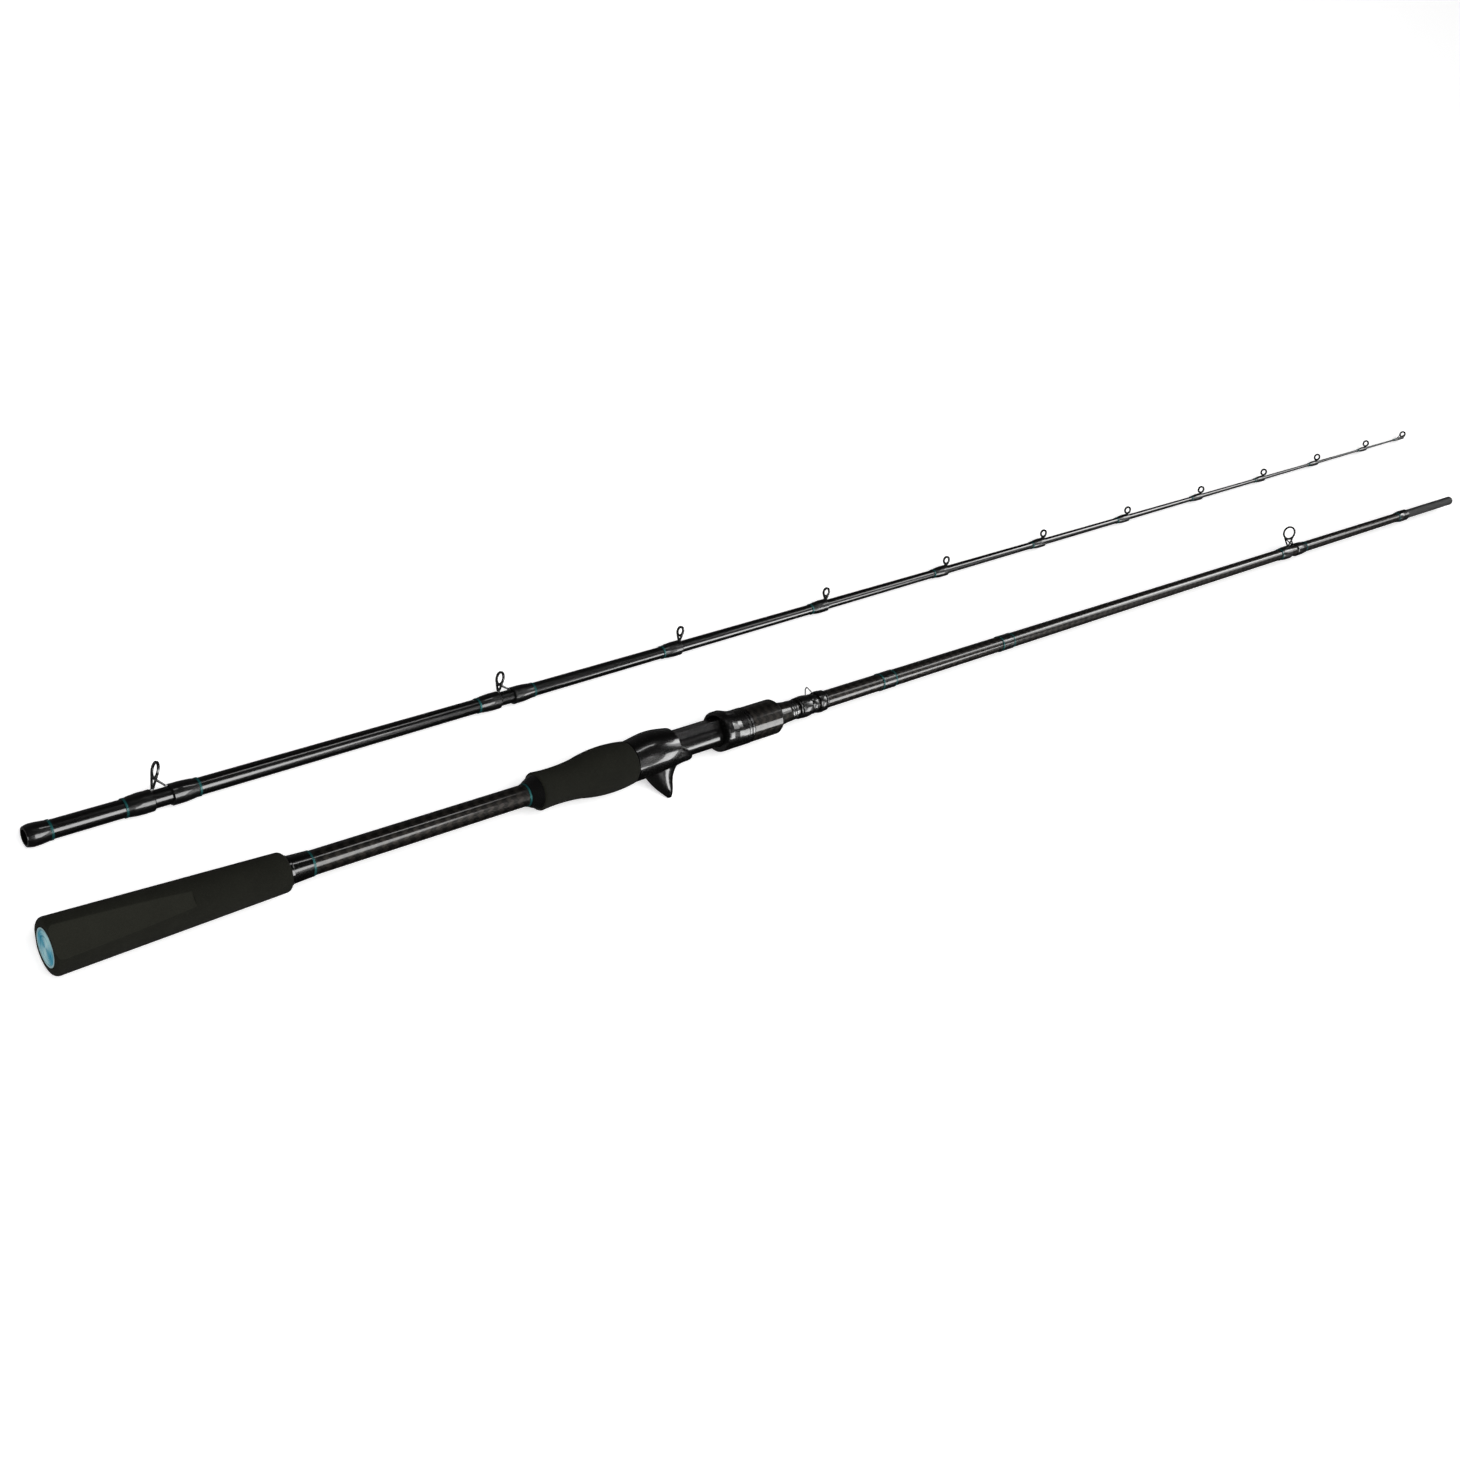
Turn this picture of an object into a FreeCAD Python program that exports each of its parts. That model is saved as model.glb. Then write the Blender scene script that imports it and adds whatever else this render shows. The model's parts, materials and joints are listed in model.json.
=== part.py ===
import FreeCAD, Part
import Sketcher
import math
import os
from FreeCAD import Placement, Rotation, Vector

# Two-piece casting rod, taken apart: the butt section and the tip section lie side by side.
# Row frame: origin at the middle of the butt end, +X along the butt section, +Z up.
# Every piece is drawn in its own section's frame: X along the blank, Z towards the guides.

DIMENSIONS = [
    # whole sections
    ("butt_length", 1387.0, "butt section, butt end to ferrule end"),
    ("tip_length", 1387.0, "tip section, ferrule mouth to the end of the blank"),
    ("guide_roll", 30.0, "how far the guides point above the table, degrees"),
    ("tip_start", 13.7, "tip section's mouth along X"),
    ("tip_aside", 59.8, "tip section's mouth along Y"),
    ("tip_below", 8.75, "tip section's axis below the butt section's axis"),
    ("tip_yaw", 0.87, "tip section turned from the butt section, degrees"),
    ("glue_gap", 0.1, "bond line between a blank and what is glued on it"),
    ("running_gap", 0.3, "radial clearance of the hood and nut over the seat"),
    # blanks
    ("butt_root_radius", 7.06, "butt blank radius at X = 0, before its taper"),
    ("butt_taper", 0.00225, "butt blank radius lost per mm"),
    ("butt_wall", 1.3, "butt blank wall"),
    ("tip_taper", 0.003135, "tip blank radius lost per mm"),
    ("tip_wall", 0.9, "tip blank wall in front of the socket"),
    ("tip_core_end", 0.35, "tip blank's inner radius where the hollow ends"),
    ("tip_core_solid", 137.0, "solid front end of the tip blank"),
    ("ferrule_length", 88.0, "bare male end, and the depth of the socket"),
    ("ferrule_step", 0.107, "male end ground below the blank, on radius"),
    ("socket_wall", 1.005, "tip blank wall at its mouth"),
    ("ferrule_fit", 0.04, "radial clearance of the male end in the socket"),
    # butt end
    ("cap_radius", 9.0, "butt cap disc"),
    ("cap_thick", 3.0, "butt cap disc"),
    ("cap_stem", 14.0, "butt cap stem inside the blank"),
    ("cap_rim", 0.95, "metal rim round the cap, radial"),
    ("grip_radius", 14.75, "butt grip at the butt end"),
    ("grip_front_wall", 3.97, "butt grip at its front end"),
    ("grip_length", 124.0, "butt grip"),
    ("grip_edge", 2.6, "round on the grip's ends"),
    ("facet_reach", 11.95, "flat on the grip, from the axis"),
    ("facet_tilt", 16.0, "flats turned towards the guides, degrees"),
    ("facet_length", 96.0, "length of the flats"),
    ("check_end", 137.0, "front of the rear winding check"),
    ("check_rise", 1.42, "step collar of the rear winding check, above the blank"),
    ("thread_ring", 1.2, "width of a turquoise thread ring"),
    ("thread_rise", 0.4, "thread ring above the blank"),
    # palm grip
    ("collar_start", 275.5, "rear of the palm grip's collar"),
    ("palm_start", 282.0, "rear of the palm grip"),
    ("palm_end", 350.0, "front of the palm grip"),
    ("palm_rim_radius", 11.4, "palm grip, rear rim"),
    ("palm_neck_radius", 10.9, "palm grip, neck"),
    ("palm_swell_radius", 14.5, "palm grip, swell"),
    ("foam_wall", 3.2, "palm grip over the seat's tail, at its front"),
    # reel seat
    ("seat_tail", 12.0, "seat tail inside the palm grip"),
    ("tail_wall", 3.1, "seat tail"),
    ("arbor_wall", 0.62, "seat bore above the blank, for the arbors"),
    ("barrel_wall", 0.9, "seat barrel between threads"),
    ("thread_depth", 0.3, "thread crest above the barrel"),
    ("thread_pitch", 2.0, "seat thread"),
    ("thread_start", 428.0, "first thread on the barrel"),
    ("seat_end", 470.0, "front end of the seat"),
    ("hood_lip", 383.0, "mouth of the fixed hood"),
    ("hood_offset", 1.2, "hoods' centre above the axis"),
    ("hood_wall", 1.3, "wall over the reel foot"),
    ("foot_half", 6.2, "half width of a reel foot"),
    ("rail_rise", 1.3, "flat that carries the reel foot, above the thread crest"),
    ("rail_end", 424.0, "front end of the rail"),
    ("land_rise", 0.15, "landing of the reel foot above the rail"),
    ("liner", 0.5, "hood liner"),
    ("trigger_reach", 29.0, "trigger tip from the axis"),
    # sliding hood and nut
    ("slide_mouth", 421.0, "mouth of the sliding hood"),
    ("slide_bell", 1.25, "bell of the sliding hood over its rear sleeve"),
    ("slide_wall", 2.05, "rear sleeve of the sliding hood over its neck"),
    ("slide_end", 439.5, "end of the hood's sleeve"),
    ("neck_length", 7.0, "hood's neck inside the nut"),
    ("neck_wall", 1.3, "hood's neck"),
    ("trim_width", 2.2, "each trim ring between hood and nut"),
    ("trim_gap", 0.3, "gap between the trim rings"),
    ("nut_wall", 0.4, "nut round the hood's neck"),
    ("sleeve_wall", 1.0, "carbon sleeve"),
    ("nut_chamfer", 1.6, "bevel at the nut's front"),
    # in front of the seat
    ("cone_rise", 0.2, "fore cone, rear, above the seat's barrel"),
    ("cone_front_rise", 0.79, "fore cone, front, above the blank"),
    ("cone_length", 12.0, "fore cone"),
    ("ring_count", 3, "winding check rings"),
    ("ring_pitch", 2.0, "winding check rings, spacing"),
    ("ring_rise", 0.79, "rearmost winding check ring, above the blank"),
    ("keeper_wire", 0.45, "hook keeper wire radius"),
    ("keeper_rise", 5.0, "hook keeper above the blank"),
    ("keeper_start", 501.0, "hook keeper's rear leg"),
    ("keeper_span", 6.5, "hook keeper, leg to leg"),
    # guides
    ("lean", 22.5, "guide rings lean towards the tip, degrees"),
    ("frame_ring", 0.7, "radial thickness of a guide's frame ring"),
    ("frame_thick", 1.0, "guide frame sheet"),
    ("insert_thick", 0.75, "radial thickness of an insert"),
    ("insert_width", 1.5, "insert along its axis"),
    ("insert_fit", 0.03, "insert's clearance in its frame"),
    ("foot_thick", 0.5, "guide foot"),
    ("foot_length", 11.0, "guide foot under its wrap"),
    ("brace_step", 7.5, "front foot ahead of the rear foot"),
    ("wrap_rise", 1.05, "wrap over a foot, above the blank"),
    ("wrap_edge", 0.25, "wrap at its ends, above the blank"),
    ("wrap_length", 14.5, "wrap over one foot"),
    # ferrule and tip
    ("ferrule_wrap", 16.0, "wrap behind the bare male end"),
    ("ferrule_wrap_rise", 0.93, "the same, above the blank"),
    ("mouth_wrap", 11.5, "wrap round the socket's mouth"),
    ("mouth_swell", 0.93, "the same, above the blank"),
    ("tube_length", 11.0, "tip-top tube"),
    ("tube_wall", 0.5, "tip-top tube"),
    ("tip_ring_rise", 2.67, "tip-top ring above the blank"),
]

# Guides: place along the section's length, ring centre above the blank, ring diameter, feet.
BUTT_GUIDE = (0.7859, 12.49, 11.8, 2)
TIP_GUIDES = [
    (0.0466, 10.82, 9.5, 2),
    (0.2019, 8.79, 8.6, 2),
    (0.3043, 6.85, 7.0, 1),
    (0.4016, 5.77, 6.8, 1),
    (0.4939, 4.47, 6.4, 1),
    (0.5782, 4.24, 6.4, 1),
    (0.6597, 3.99, 6.4, 1),
    (0.7383, 3.94, 6.4, 1),
    (0.8118, 3.85, 6.4, 1),
    (0.8796, 3.85, 6.4, 1),
    (0.9463, 3.84, 6.4, 1),
]
TIP_TOP_RING = 6.4
DECORATIVE_WRAPS = [(570.0, 11.0), (697.0, 11.0)]

doc = FreeCAD.newDocument("casting_rod")
sheet = doc.addObject("Spreadsheet::Sheet", "Dims")
finished = []


class Size:
    """A size as both its number and the sheet expression that gives it."""

    def __init__(self, text, value):
        self.text = text
        self.value = value

    def __add__(self, other):
        other = size(other)
        return Size(f"({self.text} + {other.text})", self.value + other.value)

    def __sub__(self, other):
        other = size(other)
        return Size(f"({self.text} - {other.text})", self.value - other.value)

    def __mul__(self, other):
        other = size(other)
        return Size(f"({self.text} * {other.text})", self.value * other.value)

    def __truediv__(self, other):
        other = size(other)
        return Size(f"({self.text} / {other.text})", self.value / other.value)

    def __neg__(self):
        return Size(f"(-1 * {self.text})", -self.value)

    def __radd__(self, other):
        return size(other) + self

    def __rsub__(self, other):
        return size(other) - self

    def __rmul__(self, other):
        return size(other) * self


def size(number):
    """Wraps a bare number, so that it can stand in an expression."""
    if isinstance(number, Size):
        return number
    return Size(f"({number:.6g})", float(number))


def fill_sheet(rows):
    """Writes one row per dimension: its name, its number under an alias, what it is."""
    for row, (alias, number, meaning) in enumerate(rows, start=1):
        sheet.set(f"A{row}", alias)
        sheet.set(f"B{row}", str(number))
        sheet.set(f"C{row}", meaning)
        sheet.setAlias(f"B{row}", alias)


def guide_rows(name, guide):
    """Sheet rows for one guide."""
    share, rise, ring, _ = guide
    return [
        (f"{name}_share", share, "where its lean line meets the axis, over the section's length"),
        (f"{name}_rise", rise, "ring centre above the blank, along the lean"),
        (f"{name}_ring", ring, "ring diameter"),
    ]


GUIDE_NAMES = [f"guide_{number}" for number in range(1, len(TIP_GUIDES) + 1)]
rows = DIMENSIONS + guide_rows("butt_guide", BUTT_GUIDE)
for guide_name, guide in zip(GUIDE_NAMES, TIP_GUIDES):
    rows += guide_rows(guide_name, guide)
for number, (start, length) in enumerate(DECORATIVE_WRAPS, start=1):
    rows.append((f"band_{number}_start", start, "decorative wrap, rear end"))
    rows.append((f"band_{number}_length", length, "decorative wrap"))
rows.append(("tip_top_ring", TIP_TOP_RING, "tip-top ring diameter"))
fill_sheet(rows)
doc.recompute()


def dim(alias):
    """A size straight from the sheet."""
    return Size(f"Dims.{alias}", float(sheet.get(alias)))


def bind(thing, **sizes):
    """Binds properties of an object to sheet expressions."""
    for name, value in sizes.items():
        thing.setExpression(name, size(value).text)


def place(x=0.0, y=0.0, z=0.0, turn=None):
    """A placement from sizes and an optional rotation."""
    return Placement(Vector(*(size(v).value for v in (x, y, z))), turn or Rotation())


def finish(thing, label, section):
    """Names a sub-part and puts it in the row frame with its section."""
    thing.Label = label
    thing.Placement = section.multiply(thing.Placement)
    finished.append(thing)
    return thing


# ---------------------------------------------------------------- shared shapes

def butt_radius(x):
    """Butt blank radius at a station."""
    return dim("butt_root_radius") - dim("butt_taper") * x


MALE_RADIUS = butt_radius(dim("butt_length") - dim("ferrule_length")) - dim("ferrule_step")
SOCKET_RADIUS = MALE_RADIUS + dim("ferrule_fit")


def tip_radius(x):
    """Tip blank radius at a station."""
    return SOCKET_RADIUS + dim("socket_wall") - dim("tip_taper") * x


def outline(sketch, points):
    """Closed outline in a sketch. A point with a third item is one that an arc passes through."""
    count = len(points)
    corners = [i for i, point in enumerate(points) if len(point) == 2]
    first = sketch.GeometryCount
    for order, i in enumerate(corners):
        j = corners[(order + 1) % len(corners)]
        start, end = (Vector(size(points[k][0]).value, size(points[k][1]).value, 0) for k in (i, j))
        if (j - i) % count == 2:
            via = points[(i + 1) % count]
            middle = Vector(size(via[0]).value, size(via[1]).value, 0)
            sketch.addGeometry(Part.Arc(start, middle, end))
        else:
            sketch.addGeometry(Part.LineSegment(start, end))
    spots = [arc_ends(sketch, first + k, points, corners[k]) for k in range(len(corners))]
    for order, i in enumerate(corners):
        near, far = spots[order]
        following = (order + 1) % len(corners)
        sketch.addConstraint(Sketcher.Constraint("Coincident", first + order, far,
                                                 first + following, spots[following][0]))
        pin_point(sketch, first + order, near, points[i])
    for order, i in enumerate(corners):
        j = corners[(order + 1) % len(corners)]
        if (j - i) % count == 2:
            via = points[(i + 1) % count]
            spot = sketch.addGeometry(Part.Point(Vector(size(via[0]).value, size(via[1]).value, 0)))
            sketch.setConstruction(spot, True)
            sketch.addConstraint(Sketcher.Constraint("PointOnObject", spot, 1, first + order))
            pin_point(sketch, spot, 1, via)


def arc_ends(sketch, edge, points, corner):
    """Which end of an edge lies on its first corner: arcs always run anticlockwise."""
    wanted = Vector(size(points[corner][0]).value, size(points[corner][1]).value, 0)
    if (sketch.getPoint(edge, 1) - wanted).Length < (sketch.getPoint(edge, 2) - wanted).Length:
        return 1, 2
    return 2, 1


def pin_point(sketch, edge, end, point):
    """Holds one point of a sketch at two sheet expressions."""
    for kind, value in (("DistanceX", point[0]), ("DistanceY", point[1])):
        value = size(value)
        index = sketch.addConstraint(Sketcher.Constraint(kind, -1, 1, edge, end, value.value))
        sketch.setExpression(f"Constraints[{index}]", value.text)


def new_body(name, plane, *outlines):
    """A body with one sketch on one of its origin planes."""
    body = doc.addObject("PartDesign::Body", name)
    sketch = body.newObject("Sketcher::SketchObject", f"{name}_sketch")
    base = [item for item in body.Origin.OriginFeatures if item.Role == plane][0]
    sketch.AttachmentSupport = [(base, "")]
    sketch.MapMode = "FlatFace"
    for points in outlines:
        outline(sketch, points)
    return body, sketch


def turned(name, points):
    """A piece turned about the section's axis, from (station, radius) points."""
    body, sketch = new_body(name, "XZ_Plane", points)
    turning = body.newObject("PartDesign::Revolution", f"{name}_turning")
    turning.Profile = (sketch, [""])
    turning.ReferenceAxis = (sketch, ["H_Axis"])
    turning.Angle = 360
    sketch.Visibility = False
    return body


def plate(name, plane, thick, *outlines):
    """A flat piece, padded evenly about one of the origin planes."""
    body, sketch = new_body(name, plane, *outlines)
    pad = body.newObject("PartDesign::Pad", f"{name}_pad")
    pad.Profile = (sketch, [""])
    pad.SideType = "Symmetric"
    bind(pad, Length=thick)
    return body


def sleeve(name, start, end, inner_start, inner_end, outer_start, outer_end):
    """A tube with a straight or conical wall."""
    return turned(name, [(start, inner_start), (start, outer_start), (end, outer_end), (end, inner_end)])


def block(name, x, y, z, length, width, height):
    """A box from its rear, its lower face and, across, its middle."""
    box = doc.addObject("Part::Box", name)
    bind(box, Length=length, Width=width, Height=height)
    box.Placement = place(x, size(y) - size(width) / 2, z)
    return box


def cylinder(name, start, length, radius, rise=0.0):
    """A cylinder along the section's axis."""
    rod = doc.addObject("Part::Cylinder", name)
    bind(rod, Radius=radius, Height=length)
    rod.Placement = place(start, 0, rise, Rotation(Vector(0, 1, 0), 90))
    return rod


def fuse(name, *pieces):
    """Joins pieces into one solid."""
    joined = doc.addObject("Part::MultiFuse", name)
    joined.Shapes = list(pieces)
    joined.Refine = True
    return joined


def cut(name, base, tool):
    """Takes a tool away from a base."""
    result = doc.addObject("Part::Cut", name)
    result.Base = base
    result.Tool = tool
    return result


def common(name, *pieces):
    """What all the pieces share."""
    shared = doc.addObject("Part::MultiCommon", name)
    shared.Shapes = list(pieces)
    return shared


def group(name, pieces):
    """Several like solids as one sub-part."""
    together = doc.addObject("Part::Compound", name)
    together.Links = list(pieces)
    return together


ACROSS = Rotation(Vector(0, 1, 0), Vector(0, 0, 1), Vector(1, 0, 0), "XYZ")


def loft(name, sections, upright):
    """A smooth solid through ellipses.

    upright: (station, rise, half length, half width) at several heights, flat sections.
    otherwise: (station, rise, half width, half height), sections across the axis.
    """
    rings = []
    for number, (station, rise, major, minor) in enumerate(sections, start=1):
        ring = doc.addObject("Part::Ellipse", f"{name}_section_{number}")
        bind(ring, MajorRadius=major, MinorRadius=minor)
        ring.Placement = place(station, 0, rise, Rotation() if upright else ACROSS)
        rings.append(ring)
    solid = doc.addObject("Part::Loft", name)
    solid.Sections = rings
    solid.Solid = True
    solid.Ruled = False
    return solid


# ---------------------------------------------------------------- radii, from the blank outwards

SEAT_BORE = butt_radius(dim("palm_end") - dim("seat_tail")) + dim("arbor_wall")
SEAT_TAIL = SEAT_BORE + dim("tail_wall")
PALM_FRONT = SEAT_TAIL + dim("foam_wall")
BARREL = SEAT_BORE + dim("barrel_wall")
CREST = BARREL + dim("thread_depth")
RAIL_TOP = CREST + dim("rail_rise")
NUT_BORE = CREST + dim("running_gap")
NECK = NUT_BORE + dim("neck_wall")
SLIDE_SLEEVE = NECK + dim("slide_wall")
SLIDE_BELL = SLIDE_SLEEVE + dim("slide_bell")
NUT_CORE = NECK + dim("running_gap") + dim("nut_wall")
NUT_SLEEVE = NUT_CORE + dim("glue_gap") + dim("sleeve_wall")


# ---------------------------------------------------------------- section frames

ROLL = Rotation(Vector(1, 0, 0), dim("guide_roll").value - 90)
BUTT = Placement(Vector(0, 0, 0), ROLL)
TIP = Placement(Vector(dim("tip_start").value, dim("tip_aside").value, -dim("tip_below").value),
                Rotation(Vector(0, 0, 1), dim("tip_yaw").value).multiply(ROLL))


# ---------------------------------------------------------------- butt end

def make_butt_end():
    """Blank, cap, faceted grip and winding check."""
    glue = dim("glue_gap")
    cap_back = dim("cap_thick")
    start = cap_back + glue
    end = dim("butt_length")
    wall = dim("butt_wall")
    ground = end - dim("ferrule_length")
    blank = turned("butt_blank", [
        (start, butt_radius(start) - wall), (start, butt_radius(start)), (ground, butt_radius(ground)),
        (ground, MALE_RADIUS), (end, MALE_RADIUS), (end, MALE_RADIUS - wall)])
    finish(blank, "butt_blank", BUTT)

    stem_end = cap_back + dim("cap_stem")
    stem = butt_radius(stem_end) - wall - glue
    cap = turned("cap_disc", [
        (0, 0), (0, dim("cap_radius") - 0.5), (0.5, dim("cap_radius")), (cap_back, dim("cap_radius")),
        (cap_back, stem), (stem_end, stem), (stem_end, 0)])
    groove = sleeve("cap_groove", -0.5, 0.4, dim("cap_radius") * 0.62, dim("cap_radius") * 0.62,
                    dim("cap_radius") * 0.7, dim("cap_radius") * 0.7)
    finish(cut("butt_cap_grooved", cap, groove), "butt_cap", BUTT)

    rim_in = dim("cap_radius") + glue
    rim_out = rim_in + dim("cap_rim")
    rim = sleeve("butt_cap_rim", 0, cap_back, rim_in, rim_in, rim_out, rim_out)
    finish(rim, "butt_cap_rim", BUTT)

    edge, length = dim("grip_edge"), dim("grip_length")
    radius, front = dim("grip_radius"), butt_radius(length) + glue + dim("grip_front_wall")
    bore = glue + butt_radius(start)
    round_share = 1 - math.sqrt(0.5)
    grip = turned("butt_grip_blank", [
        (0, rim_out + glue), (0, radius - edge), (edge * round_share, radius - edge * round_share, "via"),
        (edge, radius), (length - edge, front),
        (length - edge * round_share, front - edge * round_share, "via"), (length, front - edge),
        (length, butt_radius(length) + glue), (start, bore), (start, rim_out + glue)])
    flats = []
    for side in (-1, 1):
        flat = block(f"facet_{'left' if side < 0 else 'right'}", 0, 0, 0, dim("facet_length"),
                     dim("grip_radius"), dim("grip_radius") * 2)
        turn = Rotation(Vector(1, 0, 0), side * dim("facet_tilt").value)
        offset = Vector(0, side * (dim("facet_reach").value + dim("grip_radius").value / 2), 0)
        corner = Vector(0, -dim("grip_radius").value / 2, -dim("grip_radius").value)
        flat.Placement = Placement(Vector(), turn).multiply(Placement(offset + corner, Rotation()))
        flats.append(flat)
    finish(cut("butt_grip_cut", grip, fuse("facets", *flats)), "butt_grip", BUTT)

    step = length + dim("running_gap")
    front_end = dim("check_end")
    collar = butt_radius(step) + dim("check_rise")
    check = turned("rear_check", [
        (step, butt_radius(step) + glue), (step, collar), (step + 1.2, collar),
        (step + 1.6, collar - 0.5), (front_end, butt_radius(front_end) + 0.4),
        (front_end, butt_radius(front_end) + glue)])
    finish(check, "rear_winding_check", BUTT)


def thread_ring(name, start, radius_at, rise=None):
    """A narrow ring of thread round a blank."""
    width = dim("thread_ring")
    top = dim("thread_rise") if rise is None else rise
    inner = dim("glue_gap")
    return sleeve(name, start, start + width, radius_at(start) + inner, radius_at(start + width) + inner,
                  radius_at(start) + top, radius_at(start + width) + top)


# ---------------------------------------------------------------- palm grip

def make_palm_grip():
    """Collar and palm-swell grip."""
    glue = dim("glue_gap")
    start, end = dim("palm_start"), dim("palm_end")
    rear = dim("collar_start")
    collar = turned("palm_collar", [
        (rear, butt_radius(rear) + glue), (rear, butt_radius(rear) + 0.7),
        (rear + 3.2, dim("palm_rim_radius") - 2.6, "via"), (start - glue, dim("palm_rim_radius") - 1.2),
        (start - glue, butt_radius(start) + glue)])
    finish(collar, "palm_grip_collar", BUTT)

    tail = end - dim("seat_tail")
    socket = SEAT_TAIL + glue
    grip = turned("palm_grip", [
        (start, butt_radius(start) + glue), (start, dim("palm_rim_radius") - 0.9),
        (start + 0.4, dim("palm_rim_radius") - 0.2, "via"), (start + 1.5, dim("palm_rim_radius")),
        (start + 14, dim("palm_neck_radius"), "via"), (start + 30, dim("palm_rim_radius") + 0.7),
        (end - 17, dim("palm_swell_radius"), "via"), (end - 1.2, PALM_FRONT + 0.1),
        (end, PALM_FRONT - 1), (end, socket), (tail, socket),
        (tail, butt_radius(tail) + glue)])
    finish(grip, "palm_grip", BUTT)


# ---------------------------------------------------------------- reel seat

def make_threaded_barrel():
    """Seat barrel with its thread as a row of ridges."""
    start, end = dim("palm_end") + 12, dim("seat_end")
    pitch = dim("thread_pitch")
    count = int((end.value - dim("thread_start").value) / pitch.value) - 1
    points = [(start, SEAT_BORE), (start, BARREL)]
    for number in range(count):
        foot = dim("thread_start") + pitch * number
        points += [(foot, BARREL), (foot + pitch * 0.35, CREST), (foot + pitch * 0.55, CREST)]
        points += [(foot + pitch * 0.9, BARREL)]
    points += [(end, BARREL), (end, SEAT_BORE)]
    return turned("seat_barrel", points)


def make_reel_seat():
    """One moulding: tail, palm shell with the fixed hood, barrel, rail, trigger and finger spur."""
    glue = dim("glue_gap")
    end = dim("palm_end")
    lip = dim("hood_lip")
    lift = dim("hood_offset")
    tail_start = end - dim("seat_tail") + glue
    tail = cylinder("seat_tail_plug", tail_start, end + 3 - tail_start, SEAT_TAIL)
    front = PALM_FRONT
    shell = loft("seat_shell", [
        (end + glue, 0, front - 0.3, front - 0.3), (end + 8, lift * 0.5, front + 0.1, front + 0.1),
        (end + 18, lift, front + 0.5, front + 0.5), (end + 25, lift, front + 0.1, front + 0.1),
        (lip, lift, front - 1.1, front - 1.1)], upright=False)
    barrel = make_threaded_barrel()
    rail_start = lip - 9
    foot = dim("foot_half") * 2
    rail = block("seat_rail", rail_start, 0, 0, dim("rail_end") - rail_start, foot, RAIL_TOP)
    land_end = dim("slide_mouth") - 0.5
    land = block("seat_landing", lip + 0.5, 0, RAIL_TOP - 1, land_end - lip - 0.5,
                 foot - 0.4, dim("land_rise") + 1)
    reach = dim("trigger_reach")
    root = lip - 8
    trigger = loft("seat_trigger", [
        (root, -6, 17.0, 8.2), (root - 2.2, -reach * 0.4, 11.4, 6.8), (root - 2.4, -reach * 0.56, 8.6, 5.6),
        (root - 1, -reach * 0.74, 6.0, 4.3), (root + 0.8, -reach * 0.9, 3.4, 2.6),
        (root + 1.6, -reach, 1.3, 0.9)], upright=True)
    spur = loft("finger_spur", [
        (root, -1.5, 11.6, 9.6), (lip, -2.4, 11.2, 8.6), (lip + 4, -3.4, 10.2, 7.0), (lip + 8, -4.6, 8.8, 5.6),
        (lip + 11, -5.9, 7.0, 4.2), (lip + 12.6, -6.8, 5.4, 2.8)], upright=False)
    seat = fuse("seat_solid", tail, shell, barrel, rail, land, trigger, spur)

    bore = cylinder("seat_bore_cut", tail_start - 1, dim("seat_end") - tail_start + 2, SEAT_BORE)
    pocket_start = lip - 9
    roof = PALM_FRONT - 1.1 - dim("hood_wall")
    arch = cylinder("foot_arch", pocket_start, lip - pocket_start + 1, roof, lift)
    slot = block("foot_slot", pocket_start, 0, RAIL_TOP, lip - pocket_start + 1, foot + 0.4, roof)
    pocket = common("foot_pocket", arch, slot)
    grooves = [block(f"rail_groove_{number}", lip + 0.5, across, RAIL_TOP - 0.5,
                     dim("rail_end") - lip + 1, 1.1, 2)
               for number, across in enumerate((-3.4, 3.4), start=1)]
    finish(cut("reel_seat_cut", seat, fuse("seat_cuts", bore, pocket, *grooves)), "reel_seat", BUTT)

    liner_ring = sleeve("fixed_liner_ring", pocket_start + 1, lip - 0.5, roof - glue - dim("liner"),
                        roof - glue - dim("liner"), roof - glue, roof - glue)
    liner_ring.Placement = place(0, 0, lift)
    liner_box = block("fixed_liner_box", pocket_start, 0, RAIL_TOP + 0.4, lip - pocket_start,
                      foot - 0.4, roof)
    finish(common("fixed_liner", liner_ring, liner_box), "fixed_hood_liner", BUTT)

    arbors = []
    for number, start in enumerate((tail_start + 2, lip + 14, dim("seat_end") - 20), start=1):
        stop = start + 14
        outer = SEAT_BORE - glue
        arbors.append(sleeve(f"arbor_{number}", start, stop, butt_radius(start) + glue,
                             butt_radius(stop) + glue, outer, outer))
    finish(group("arbor_group", arbors), "seat_arbors", BUTT)


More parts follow.
